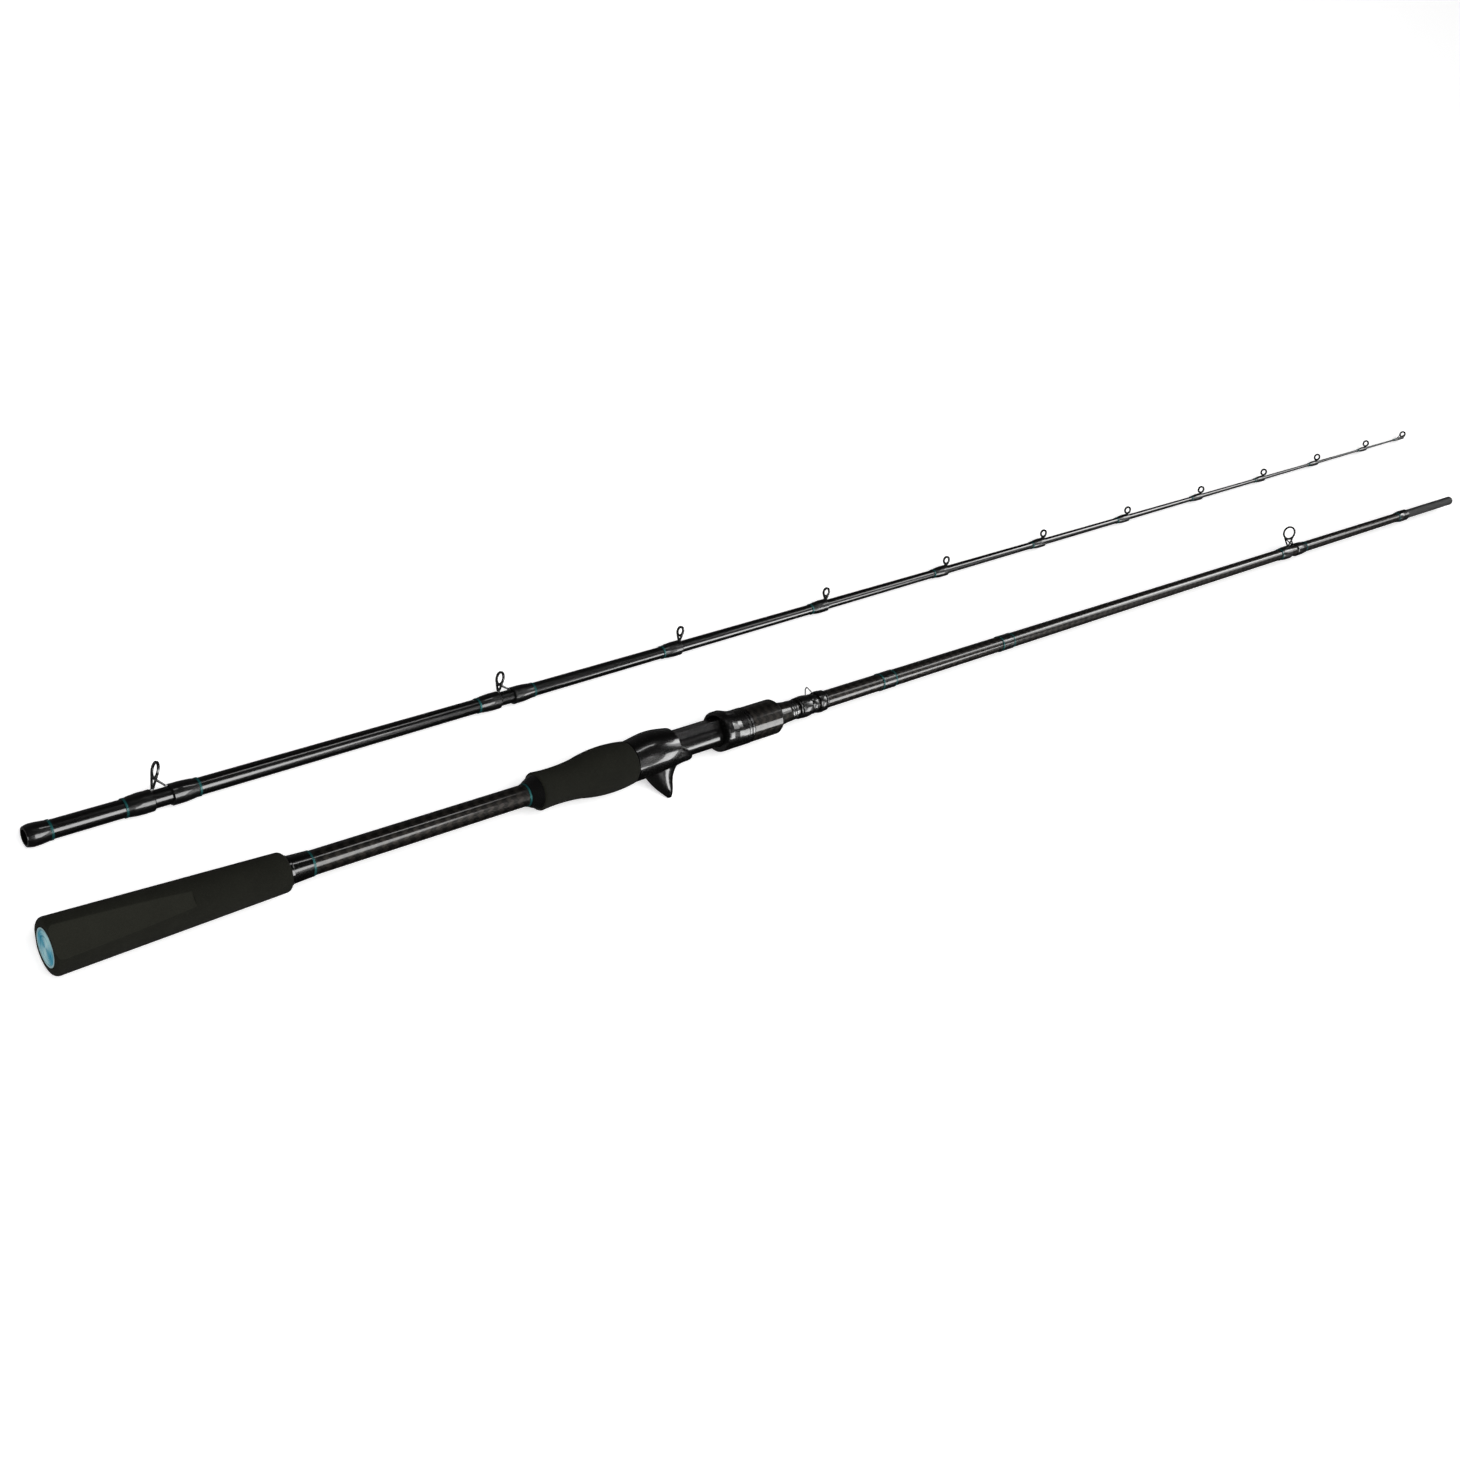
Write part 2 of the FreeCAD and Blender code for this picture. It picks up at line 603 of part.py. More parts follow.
def make_sliding_hood():
    """Hood that slides along the seat, its liner and its trim ring."""
    glue, gap = dim("glue_gap"), dim("running_gap")
    mouth, end = dim("slide_mouth"), dim("slide_end")
    lift, bell, rear = dim("hood_offset"), SLIDE_BELL, SLIDE_SLEEVE
    shell = doc.addObject("Part::Loft", "hood_shell")
    rings = []
    stations = [(mouth, lift, bell - 0.6), (mouth + 0.7, lift, bell - 0.1), (mouth + 2, lift, bell),
                (mouth + 5, lift, bell), (mouth + 7, lift * 0.75, bell - 0.35),
                (mouth + 10, lift * 0.35, rear + 0.35), (mouth + 13.5, 0, rear), (end, 0, rear)]
    for number, (station, rise, radius) in enumerate(stations, start=1):
        ring = doc.addObject("Part::Circle", f"hood_section_{number}")
        bind(ring, Radius=radius)
        ring.Placement = place(station, 0, rise, ACROSS)
        rings.append(ring)
    shell.Sections = rings
    shell.Solid = True
    shell.Ruled = True
    seam = end + dim("trim_width") + glue
    neck = cylinder("hood_neck", end - 1, seam + dim("neck_length") - end + 1, NECK)
    bore = cylinder("hood_bore", mouth - 1, seam + dim("neck_length") - mouth + 2, NUT_BORE)
    foot = dim("foot_half") * 2 + gap * 2
    channel_depth = dim("rail_end") - mouth + 8 + gap * 2
    channel = block("hood_channel", mouth - 1, 0, 0, channel_depth + 1, foot, RAIL_TOP + gap)
    roof = bell - dim("hood_wall") - 0.3
    arch = cylinder("slide_arch", mouth - 1, 8, roof, lift)
    slot = block("slide_slot", mouth - 1, 0, RAIL_TOP, 8, foot + 0.4, roof)
    cuts = fuse("hood_cuts", bore, channel, common("slide_pocket", arch, slot))
    finish(cut("sliding_hood_cut", fuse("hood_solid", shell, neck), cuts), "sliding_hood", BUTT)

    liner_ring = sleeve("slide_liner_ring", mouth + 0.5, mouth + 6.5, roof - glue - dim("liner"),
                        roof - glue - dim("liner"), roof - glue, roof - glue)
    liner_ring.Placement = place(0, 0, lift)
    liner_box = block("slide_liner_box", mouth, 0, RAIL_TOP + 0.6, 7, foot - 0.8, roof)
    finish(common("slide_liner", liner_ring, liner_box), "sliding_hood_liner", BUTT)

    trim_start, trim_end = end + glue, end + glue + dim("trim_width")
    hole = NECK + glue
    trim = turned("hood_trim", [
        (trim_start, hole), (trim_start, rear - 0.35), (trim_start + 0.35, rear), (trim_end - 0.35, rear),
        (trim_end, rear - 0.35), (trim_end, hole)])
    finish(trim, "hood_trim_ring", BUTT)


def make_nut():
    """Lock nut: threaded core, carbon sleeve and trim ring."""
    glue, gap = dim("glue_gap"), dim("running_gap")
    start = dim("slide_end") + glue + dim("trim_width") + dim("trim_gap")
    trim_end = start + dim("trim_width")
    end = dim("seat_end")
    neck = dim("slide_end") + dim("trim_width") + glue + dim("neck_length") + gap
    socket = NECK + gap
    core = turned("lock_nut", [
        (start, socket), (start, NUT_CORE), (end, NUT_CORE), (end, NUT_BORE), (neck, NUT_BORE),
        (neck, socket)])
    finish(core, "lock_nut", BUTT)

    inner = NUT_CORE + glue
    outer = NUT_SLEEVE
    bevel = dim("nut_chamfer")
    shell = turned("nut_sleeve", [
        (trim_end + glue, inner), (trim_end + glue, outer - 0.3), (trim_end + glue + 0.3, outer),
        (end - bevel, outer), (end, inner + 0.1), (end, inner)])
    finish(shell, "nut_carbon_sleeve", BUTT)

    trim = turned("nut_trim", [
        (start, inner), (start, outer - 0.1), (start + 0.35, outer + 0.25), (trim_end - 0.35, outer + 0.25),
        (trim_end, outer - 0.1), (trim_end, inner)])
    finish(trim, "nut_trim_ring", BUTT)


# ---------------------------------------------------------------- in front of the seat

def make_fore_end():
    """Fore cone, winding check rings, hook keeper and the wraps that hold it."""
    glue = dim("glue_gap")
    start = dim("seat_end") + glue
    end = start + dim("cone_length")
    wide = BARREL + dim("cone_rise")
    narrow = butt_radius(end) + dim("cone_front_rise")
    cone = turned("fore_cone", [
        (start, butt_radius(start) + glue), (start, wide), (start + 2, wide), (end - 1, narrow),
        (end, narrow - 0.3),
        (end, butt_radius(end) + glue)])
    finish(cone, "fore_cone", BUTT)

    rings = []
    for number in range(int(dim("ring_count").value)):
        rear = end + glue + dim("ring_pitch") * number
        front = rear + dim("ring_pitch") - 0.25
        top = butt_radius(end) + dim("ring_rise") - 0.12 * number
        rings.append(turned(f"check_ring_{number + 1}", [
            (rear, butt_radius(rear) + glue), (rear, top - 0.3), (rear + 0.3, top), (front - 0.3, top),
            (front, top - 0.3), (front, butt_radius(front) + glue)]))
    finish(group("check_rings", rings), "fore_check_rings", BUTT)

    make_hook_keeper()


def make_hook_keeper():
    """Bent wire with a leg under each wrap, and the short wraps."""
    glue = dim("glue_gap")
    wire = dim("keeper_wire")
    start, span = dim("keeper_start"), dim("keeper_span")
    base = butt_radius(start) + wire + glue
    top = base + dim("keeper_rise")
    spots = [(start - 8, base), (start, base), (start + 0.8, top - 1.2), (start + 2.2, top),
             (start + 3.6, top - 1.2), (start + span, base), (start + span + 5, base)]
    corners = [Vector(size(x).value, 0, size(z).value) for x, z in spots]
    path = Part.Wire([Part.LineSegment(a, b).toShape() for a, b in zip(corners, corners[1:])])
    section = Part.Wire([Part.Circle(corners[0], Vector(1, 0, 0), wire.value).toShape()])
    keeper = doc.addObject("Part::Feature", "hook_keeper")
    keeper.Shape = path.makePipeShell([section], True, False, 2)
    finish(keeper, "hook_keeper", BUTT)

    wraps = []
    spans = [(start - 8.8, start - 0.6, 0), (start + span + 0.7, start + span + 6, 0),
             (start + wire + 0.1, start + span - wire * 2, 0.7), (start + span + 6.3, start + span + 8, 0.3),
             (start - 11, start - 9.2, 0.3)]
    channel = block("keeper_channel", start - 8.9, 0, 0, span + 15, wire * 2 + 0.2,
                    butt_radius(start) + wire * 2 + glue + 0.1)
    for number, (rear, front, less) in enumerate(spans, start=1):
        rise = wire * 2 + 0.45 - less
        wrap = turned(f"keeper_wrap_body_{number}", [
            (rear, butt_radius(rear) + glue), (rear, butt_radius(rear) + rise - 0.35),
            ((rear + front) / 2, butt_radius(rear) + rise, "via"),
            (front, butt_radius(front) + rise - 0.35), (front, butt_radius(front) + glue)])
        if number < 3:
            wrap = cut(f"keeper_wrap_{number}", wrap, channel)
        wraps.append(wrap)
    finish(group("keeper_wrap_group", wraps), "keeper_wraps", BUTT)


# ---------------------------------------------------------------- guides

def guide_station(name):
    """Where a guide stands along its section: the guides spread with the section's length."""
    length = dim("butt_length") if name == "butt_guide" else dim("tip_length")
    return length * dim(f"{name}_share")


def foot_half_width(radius):
    """Half width of a guide foot: narrower on a thin blank."""
    return 1.0 if radius.value > 2.5 else 0.6


def make_wrap(name, thin, thick, radius_at, foot):
    """Epoxied thread over a foot: a hump from its thin end to its thick end, less the foot's room."""
    glue = dim("glue_gap")
    edge, rise = dim("wrap_edge"), dim("wrap_rise")
    run = thick - thin
    back = 0.6 if run.value > 0 else -0.6
    hump = turned(f"{name}_hump", [
        (thin, radius_at(thin) + glue), (thin, radius_at(thin) + edge),
        (thin + run * 0.3, radius_at(thin) + rise * 0.8, "via"),
        (thin + run * 0.6, radius_at(thin) + rise), (thick - back, radius_at(thick) + rise),
        (thick, radius_at(thick) + rise - 0.4), (thick, radius_at(thick) + glue)])
    start, end, half = foot
    room = block(f"{name}_room", start - 0.1, 0, 0, end - start + 0.2, half * 2 + 0.2,
                 radius_at(start) + dim("foot_thick") + glue * 1.5)
    return cut(name, hump, room)


def make_guide(name, feet, radius_at, section):
    """One guide: stamped frame with its foot or feet, and the ring insert. Returns its wraps."""
    glue = dim("glue_gap")
    station = guide_station(name)
    ring = dim(f"{name}_ring") / 2
    hole = ring - dim("frame_ring")
    lean = Rotation(Vector(0, 1, 0), dim("lean").value)
    blank = radius_at(station)
    rise = blank + dim(f"{name}_rise")
    half = foot_half_width(blank)
    sheet_thick = dim("frame_thick")
    tilt = math.cos(math.radians(dim("lean").value))

    base = (blank + dim("foot_thick") * 0.75) / tilt
    arm = dim("frame_ring")
    shoulder = rise
    bow = 0.28
    mid = (shoulder + base) / 2
    outer = [(-ring, shoulder), (-(ring + half) / 2 - bow, mid, "via"), (-half, base),
             (half, base), ((ring + half) / 2 + bow, mid, "via"), (ring, shoulder)]
    floor = base + arm * 1.3
    inner_mid = (shoulder + floor) / 2
    inner_half = 0.12
    inner_top = shoulder - 0.3
    inner = [(arm - ring, inner_top), (-(ring - arm + inner_half) / 2 - bow, inner_mid, "via"),
             (-inner_half, floor), (inner_half, floor),
             ((ring - arm + inner_half) / 2 + bow, inner_mid, "via"), (ring - arm, inner_top)]
    arms = plate(f"{name}_arms", "YZ_Plane", sheet_thick, outer, inner)
    hoop = turned(f"{name}_hoop", [
        (sheet_thick / -2, hole), (sheet_thick / -2, ring), (sheet_thick / 2, ring),
        (sheet_thick / 2, hole)])
    hoop.Placement = place(0, 0, rise)
    clear = cylinder(f"{name}_clear", -3, 6, hole, rise)
    leaned = cut(f"{name}_stamping", fuse(f"{name}_sheet", arms, hoop), clear)
    leaned.Placement = place(station, 0, 0, lean)

    foot_rear = station - dim("foot_length")
    foot_low = radius_at(foot_rear) + glue
    foot = block(f"{name}_foot", foot_rear, 0, foot_low, dim("foot_length") + blank * 0.4 + 0.9, half * 2,
                 dim("foot_thick"))
    pieces = [leaned, foot]
    wrap_rear = station - dim("wrap_length") + blank * 0.2
    wrap_front = station - 0.2 + blank * 0.2
    wraps = [make_wrap(f"{name}_wrap", wrap_rear, wrap_front, radius_at,
                       (foot_rear, wrap_front + 1, half))]
    if feet == 2:
        pieces += make_brace(name, station, rise, ring, half, radius_at, lean)
        front_start = station + blank * 0.4 + dim("brace_step")
        front_end = front_start + dim("foot_length")
        wraps.append(make_wrap(f"{name}_front_wrap", front_start + dim("wrap_length") + 0.9,
                               front_start + 0.9, radius_at, (front_start - 1, front_end, half)))
    finish(fuse(f"{name}_fused", *pieces), f"{name}_frame", section)

    make_insert(f"{name}_insert", hole, place(station, 0, 0, lean).multiply(place(0, 0, rise)), section)
    return wraps


def make_insert(name, hole, seat, section):
    """Polished ring pressed into a frame's hole, rounded on the inside."""
    outside = hole - dim("insert_fit")
    edge = outside - dim("insert_thick") * 0.4
    width = dim("insert_width") / 2
    insert = turned(name, [
        (-width, outside), (width, outside), (width, edge), (0, outside - dim("insert_thick"), "via"),
        (-width, edge)])
    insert.Placement = seat
    finish(insert, name, section)


def make_brace(name, station, rise, ring, half, radius_at, lean):
    """Front foot of a two-footed guide, and the brace from it to the ring."""
    glue = dim("glue_gap")
    blank = radius_at(station)
    low = radius_at(station) + glue
    toe = station + blank * 0.4 + dim("brace_step")
    foot = block(f"{name}_front_foot", toe - 0.6, 0, low, dim("foot_length") + 0.6, half * 2,
                 dim("foot_thick"))
    upper = place(station, 0, 0, lean).multVec(Vector(0, 0, (rise - ring).value + 0.35))
    lower = Vector(toe.value, 0, low.value + dim("foot_thick").value / 2)
    along = upper - lower
    height = along.Length
    wire = 0.75
    spread = ring * 0.5
    outer = [(-spread, height), (-half * 0.8, 0), (half * 0.8, 0), (spread, height)]
    inner = [(wire - spread, height - 0.55), (-0.1, wire * 1.6), (0.1, wire * 1.6),
             (spread - wire, height - 0.55)]
    legs = plate(f"{name}_brace", "YZ_Plane", dim("frame_thick") * 0.75, outer, inner)
    angle = math.degrees(math.atan2(along.x, along.z))
    legs.Placement = Placement(lower, Rotation(Vector(0, 1, 0), angle))
    return [foot, legs]


# ---------------------------------------------------------------- thread work

def make_butt_thread_work():
    """Decorative bands, ferrule wrap and the narrow rings on the butt section."""
    glue = dim("glue_gap")
    rings = [thread_ring("ring_at_check", dim("check_end") + glue, butt_radius),
             thread_ring("ring_at_collar", dim("collar_start") - dim("thread_ring") - glue, butt_radius)]
    bands = []
    for number in range(1, len(DECORATIVE_WRAPS) + 1):
        start, length = dim(f"band_{number}_start"), dim(f"band_{number}_length")
        end = start + length
        rise = dim("thread_rise") - 0.1
        bands.append(sleeve(f"band_{number}", start, end, butt_radius(start) + glue,
                            butt_radius(end) + glue, butt_radius(start) + rise, butt_radius(end) + rise))
        rings.append(thread_ring(f"band_{number}_rear_ring", start - dim("thread_ring") - glue, butt_radius))
        rings.append(thread_ring(f"band_{number}_front_ring", end + glue, butt_radius))
    finish(group("band_group", bands), "decorative_wraps", BUTT)

    end = dim("butt_length") - dim("ferrule_length")
    start = end - dim("ferrule_wrap")
    top = butt_radius(start) + dim("ferrule_wrap_rise")
    wrap = turned("ferrule_wrap", [
        (start, butt_radius(start) + glue), (start, butt_radius(start) + dim("wrap_edge")),
        (start + 4, top, "via"), (start + 9, top), (end - 0.8, top), (end, top - 0.4),
        (end, butt_radius(end) + glue)])
    finish(wrap, "ferrule_wrap", BUTT)
    rings.append(thread_ring("ring_at_ferrule", start - dim("thread_ring") - glue, butt_radius))

    wraps = make_guide("butt_guide", BUTT_GUIDE[3], butt_radius, BUTT)
    finish(group("butt_guide_wrap_group", wraps), "butt_guide_wraps", BUTT)
    rings += guide_rings("butt_guide", BUTT_GUIDE[3], butt_radius)
    finish(group("butt_ring_group", rings), "butt_thread_rings", BUTT)


def guide_rings(name, feet, radius_at):
    """The narrow thread rings at the ends of a guide's wraps."""
    station = guide_station(name)
    blank = radius_at(station)
    rear = station - dim("wrap_length") + blank * 0.2 - dim("thread_ring") - dim("glue_gap")
    rings = [thread_ring(f"{name}_rear_ring", rear, radius_at)]
    if feet == 2:
        front = station + blank * 0.4 + dim("brace_step") + dim("wrap_length") + 0.9 + dim("glue_gap")
        rings.append(thread_ring(f"{name}_front_ring", front, radius_at))
    return rings


# ---------------------------------------------------------------- tip section

def make_tip_section():
    """Tip blank with its socket, mouth wrap, guides, wraps and tip-top."""
    glue = dim("glue_gap")
    end = dim("tip_length")
    depth = dim("ferrule_length")
    core_end = end - dim("tip_core_solid")
    blank = turned("tip_blank", [
        (0, SOCKET_RADIUS), (0, tip_radius(0)), (end, tip_radius(end)), (end, 0), (core_end, 0),
        (core_end, dim("tip_core_end")), (depth, tip_radius(depth) - dim("tip_wall")),
        (depth, SOCKET_RADIUS)])
    finish(blank, "tip_blank", TIP)

    length, swell = dim("mouth_wrap"), tip_radius(0) + dim("mouth_swell")
    wrap = turned("mouth_wrap_body", [
        (0.3, tip_radius(0) + glue), (0.3, tip_radius(0) + 0.3), (length * 0.13, swell - 0.3, "via"),
        (length * 0.28, swell), (length * 0.55, swell - 0.1), (length * 0.8, swell - 0.4, "via"),
        (length, tip_radius(length) + dim("wrap_edge")),
        (length, tip_radius(length) + glue)])
    finish(wrap, "mouth_wrap", TIP)

    rings = [thread_ring("ring_at_mouth", length + glue, tip_radius)]
    wraps = []
    for name, guide in zip(GUIDE_NAMES, TIP_GUIDES):
        wraps += make_guide(name, guide[3], tip_radius, TIP)
        rings += guide_rings(name, guide[3], tip_radius)
    finish(group("tip_guide_wrap_group", wraps), "tip_guide_wraps", TIP)
    make_tip_top(rings)
    finish(group("tip_ring_group", rings), "tip_thread_rings", TIP)


def make_tip_top(rings):
    """Tube over the blank's end with its ring and insert."""
    glue = dim("glue_gap")
    end = dim("tip_length")
    start = end - dim("tube_length")
    inner = tip_radius(start) + glue
    outer = inner + dim("tube_wall")
    tube = turned("tip_tube", [
        (start, inner), (start, outer - 0.15), (start + 0.3, outer), (end + 1.2, outer),
        (end + 1.8, outer - 0.4),
        (end + 1.8, 0), (end + glue, 0), (end + glue, inner)])
    ring = dim("tip_top_ring") / 2
    hole = ring - dim("frame_ring")
    rise = tip_radius(end) + dim("tip_ring_rise")
    sheet_thick = dim("frame_thick")
    lean = Rotation(Vector(0, 1, 0), dim("lean").value)
    hoop = turned("tip_top_hoop", [
        (sheet_thick / -2, hole), (sheet_thick / -2, ring), (sheet_thick / 2, ring), (sheet_thick / 2, hole)])
    hoop.Placement = place(end, 0, 0, lean).multiply(place(0, 0, rise))
    braces = []
    for side in (-1, 1):
        rear = Vector(start.value + 2.5, side * outer.value * 0.72, outer.value * 0.72)
        front = place(end, 0, 0, lean).multVec(Vector(0, side * (ring.value - 0.35), rise.value - 0.3))
        along = front - rear
        wire = doc.addObject("Part::Cylinder", f"tip_brace_{'left' if side < 0 else 'right'}")
        bind(wire, Radius=dim("frame_ring") / 2)
        wire.Height = along.Length
        wire.Placement = Placement(rear, Rotation(Vector(0, 0, 1), along))
        braces.append(wire)
    clear = cylinder("tip_top_clear", -1.5, 3, hole, rise)
    clear.Placement = place(end, 0, 0, lean).multiply(clear.Placement)
    bore = cylinder("tip_top_bore", start - 1, end + glue - start + 1, inner)
    openings = fuse("tip_top_openings", clear, bore)
    frame = cut("tip_top_cut", fuse("tip_top_fused", tube, hoop, *braces), openings)
    finish(frame, "tip_top_frame", TIP)

    make_insert("tip_top_insert", hole, place(end, 0, 0, lean).multiply(place(0, 0, rise)), TIP)

    rear = start - 6
    wrap = turned("tip_top_wrap", [
        (rear, tip_radius(rear) + glue), (rear, tip_radius(rear) + dim("wrap_edge")),
        (start - 1.2, outer), (start - glue, outer - 0.1), (start - glue, tip_radius(start) + glue)])
    finish(wrap, "tip_top_wrap", TIP)
    rings.append(thread_ring("ring_at_tip_top", rear - dim("thread_ring") - glue, tip_radius))


# ---------------------------------------------------------------- build and export

def check_document():
    """Every object computed, and every sub-part a valid shape with solids."""
    faults = [item.Name for item in doc.Objects if "Invalid" in item.State or "Error" in item.State]
    for piece in finished:
        shape = piece.Shape
        if shape.isNull() or not shape.isValid() or not shape.Solids:
            faults.append(piece.Label)
    if faults:
        raise RuntimeError("failed objects: " + ", ".join(faults))


make_butt_end()
make_palm_grip()
make_reel_seat()
make_sliding_hood()
make_nut()
make_fore_end()
make_butt_thread_work()
make_tip_section()
doc.recompute()
check_document()

os.makedirs("parts", exist_ok=True)
for piece in finished:
    piece.Shape.exportStep(f"parts/{piece.Label}.step")
    box = piece.Shape.BoundBox
    print(f"{piece.Label}: {len(piece.Shape.Solids)} solids, {piece.Shape.Volume:.1f} mm3, "
          f"X {box.XMin:.1f}..{box.XMax:.1f}, Z {box.ZMin:.1f}..{box.ZMax:.1f}")
print(len(finished), "sub-parts")
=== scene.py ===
# %% [markdown]
# # A two-piece casting rod, taken apart
# The rod lies on a table in two sections: the butt section, with its foam grips and its reel
# seat, and the slimmer tip section beside it. The exact shapes come ready-made as named parts.
# This lesson gives each part the finish that the real one has, rebuilds the foam grips as new
# pieces, and sets up a small photo studio. We start by loading the parts and noting the size of
# the whole.

# %% Load the rod
import json
import math

import bmesh
import bpy
from mathutils import Matrix, Vector
from mathutils.bvhtree import BVHTree


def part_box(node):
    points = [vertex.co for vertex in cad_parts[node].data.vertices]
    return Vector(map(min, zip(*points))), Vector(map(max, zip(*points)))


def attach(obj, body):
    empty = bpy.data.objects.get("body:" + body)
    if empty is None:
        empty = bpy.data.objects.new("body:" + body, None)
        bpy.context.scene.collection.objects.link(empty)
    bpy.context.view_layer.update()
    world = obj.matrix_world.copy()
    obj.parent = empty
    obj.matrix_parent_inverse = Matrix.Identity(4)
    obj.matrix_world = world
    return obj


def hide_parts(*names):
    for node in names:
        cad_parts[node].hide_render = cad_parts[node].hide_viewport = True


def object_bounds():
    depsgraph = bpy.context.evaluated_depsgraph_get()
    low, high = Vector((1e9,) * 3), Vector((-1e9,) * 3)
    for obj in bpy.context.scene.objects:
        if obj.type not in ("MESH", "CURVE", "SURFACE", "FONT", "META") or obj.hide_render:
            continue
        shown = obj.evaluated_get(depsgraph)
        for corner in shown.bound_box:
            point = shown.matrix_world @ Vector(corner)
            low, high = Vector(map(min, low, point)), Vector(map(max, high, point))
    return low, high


MM = 1000  # millimetres in a metre

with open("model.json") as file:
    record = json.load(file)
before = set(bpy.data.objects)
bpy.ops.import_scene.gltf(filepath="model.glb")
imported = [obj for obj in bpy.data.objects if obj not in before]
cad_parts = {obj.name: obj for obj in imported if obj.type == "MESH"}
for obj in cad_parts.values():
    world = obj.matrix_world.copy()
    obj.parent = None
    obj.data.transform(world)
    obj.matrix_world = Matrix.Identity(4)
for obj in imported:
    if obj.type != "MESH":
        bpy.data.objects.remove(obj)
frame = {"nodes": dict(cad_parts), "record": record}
nodes = frame["nodes"]
size_at_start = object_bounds()
print(len(nodes), "parts, from", size_at_start[0], "to", size_at_start[1])

# %% [markdown]
# ## Where the two sections lie
# Almost every part of a rod is round about its own blank, so patterns such as winding and weave
# are easiest to describe along that blank and round it. The butt section's blank is the X axis.
# The tip section lies beside it, turned by less than a degree, and its socket tells us where: the
# socket's middle and axis are written in the record. Both sections are rolled, so that their
# guides point up and away at 30 degrees.

# %% Find both sections
mounts = {mount["name"]: mount for mount in frame["record"]["mounts"]}
socket = mounts["ferrule_socket"]
socket_axis = Vector(socket["axis"])
tip_mouth = Vector(socket["pos_m"]) + socket_axis * socket["dims"]["length_mm"] / (2 * MM)
tip_yaw = math.atan2(-socket_axis.y, -socket_axis.x)
GUIDE_ROLL = math.radians(-60)
butt_section = Matrix.Rotation(GUIDE_ROLL, 4, "X")
tip_section = Matrix.Translation(tip_mouth) @ Matrix.Rotation(tip_yaw, 4, "Z") @ butt_section
print("tip section's mouth", tip_mouth, "turned by", round(math.degrees(tip_yaw), 2), "degrees")

# %% [markdown]
# ## The camera
# A long thin object needs a view that holds both ends. The camera stands near the butt end, about
# 80 cm above the table, and looks along the rod, so the sections run off towards the upper right
# and grow thinner. Its three directions are given as right, up and back, which are the columns of
# its matrix.

# %% Set the camera
CAMERA_PLACE = Vector((-0.23459, -0.24821, 0.78982))
CAMERA_RIGHT = Vector((0.74168, -0.46900, 0.47953))
CAMERA_UP = Vector((0.23651, 0.85185, 0.46734))
CAMERA_BACK = Vector((-0.62768, -0.23321, 0.74272))
FOCAL_LENGTH = 41.62
SENSOR_WIDTH = 36
NEAREST_SEEN = 0.01

camera_data = bpy.data.cameras.new("camera")
camera = bpy.data.objects.new("camera", camera_data)
bpy.context.scene.collection.objects.link(camera)
turn = Matrix((CAMERA_RIGHT, CAMERA_UP, CAMERA_BACK)).transposed().to_4x4()
camera.matrix_world = Matrix.Translation(CAMERA_PLACE) @ turn
camera_data.sensor_width = SENSOR_WIDTH
camera_data.lens = FOCAL_LENGTH
camera_data.clip_start = NEAREST_SEEN
bpy.context.scene.camera = camera
print("camera stands at", camera.location)

# %% [markdown]
# ## A little language for materials
# A material is a graph of nodes. Wiring dozens of Math nodes by hand hides the idea, so we wrap a
# socket in a small class with Python's own operators: writing `turns * 2 + 1` adds the two Math
# nodes. Every other node comes from one method, which takes the node's type, its settings, and
# what goes into its sockets.

# %% The socket wrapper
class Signal:
    """One output socket. Arithmetic on it adds Math nodes."""

    def __init__(self, graph, socket):
        self.graph = graph
        self.socket = socket

    def math(self, operation, *others):
        return self.graph.maths(operation, self, *others)

    def __add__(self, other):
        return self.math("ADD", other)

    def __radd__(self, other):
        return self.graph.maths("ADD", other, self)

    def __sub__(self, other):
        return self.math("SUBTRACT", other)

    def __rsub__(self, other):
        return self.graph.maths("SUBTRACT", other, self)

    def __mul__(self, other):
        return self.math("MULTIPLY", other)

    def __rmul__(self, other):
        return self.graph.maths("MULTIPLY", other, self)

    def __gt__(self, other):
        return self.math("GREATER_THAN", other)

    def __lt__(self, other):
        return self.math("LESS_THAN", other)


# %% The node graph wrapper
class Graph:
    """A node tree being wired up."""

    def __init__(self, tree):
        self.tree = tree

    def feed(self, socket, value):
        if isinstance(value, Signal):
            self.tree.links.new(value.socket, socket)
        else:
            socket.default_value = value

    def node(self, kind, settings, inputs, out=0):
        """Adds a node and gives back one of its outputs, or all of them when out is None."""
        made = self.tree.nodes.new("ShaderNode" + kind)
        for name, value in settings.items():
            setattr(made, name, value)
        for key, value in inputs.items():
            self.feed(made.inputs[key], value)
        if out is None:
            return [Signal(self, output) for output in made.outputs]
        return Signal(self, made.outputs[out])

    def maths(self, operation, *values):
        return self.node("Math", {"operation": operation}, dict(enumerate(values)))

    def mix(self, share, low, high):
        """A colour between two others."""
        return self.node("Mix", {"data_type": "RGBA"}, {0: share, 6: low, 7: high}, out=2)


# %% The material wrapper
class Finish(Graph):
    """A material. surface() fills in its shader: names are its sockets, with _ for a space."""

    def __init__(self, name):
        self.material = bpy.data.materials.new(name)
        self.material.use_nodes = True
        super().__init__(self.material.node_tree)

    def surface(self, **values):
        shader = self.tree.nodes["Principled BSDF"]
        for name, value in values.items():
            self.feed(shader.inputs[name.replace("_", " ")], value)
        return self.material


print("wrappers ready")

# %% [markdown]
# ## Coordinates along a blank and round it
# Object coordinates are fixed to the part, so a pattern on them travels with it. A Mapping node
# brings them into the section's own frame: X then runs along the blank, and the angle about X
# comes from an arctangent.

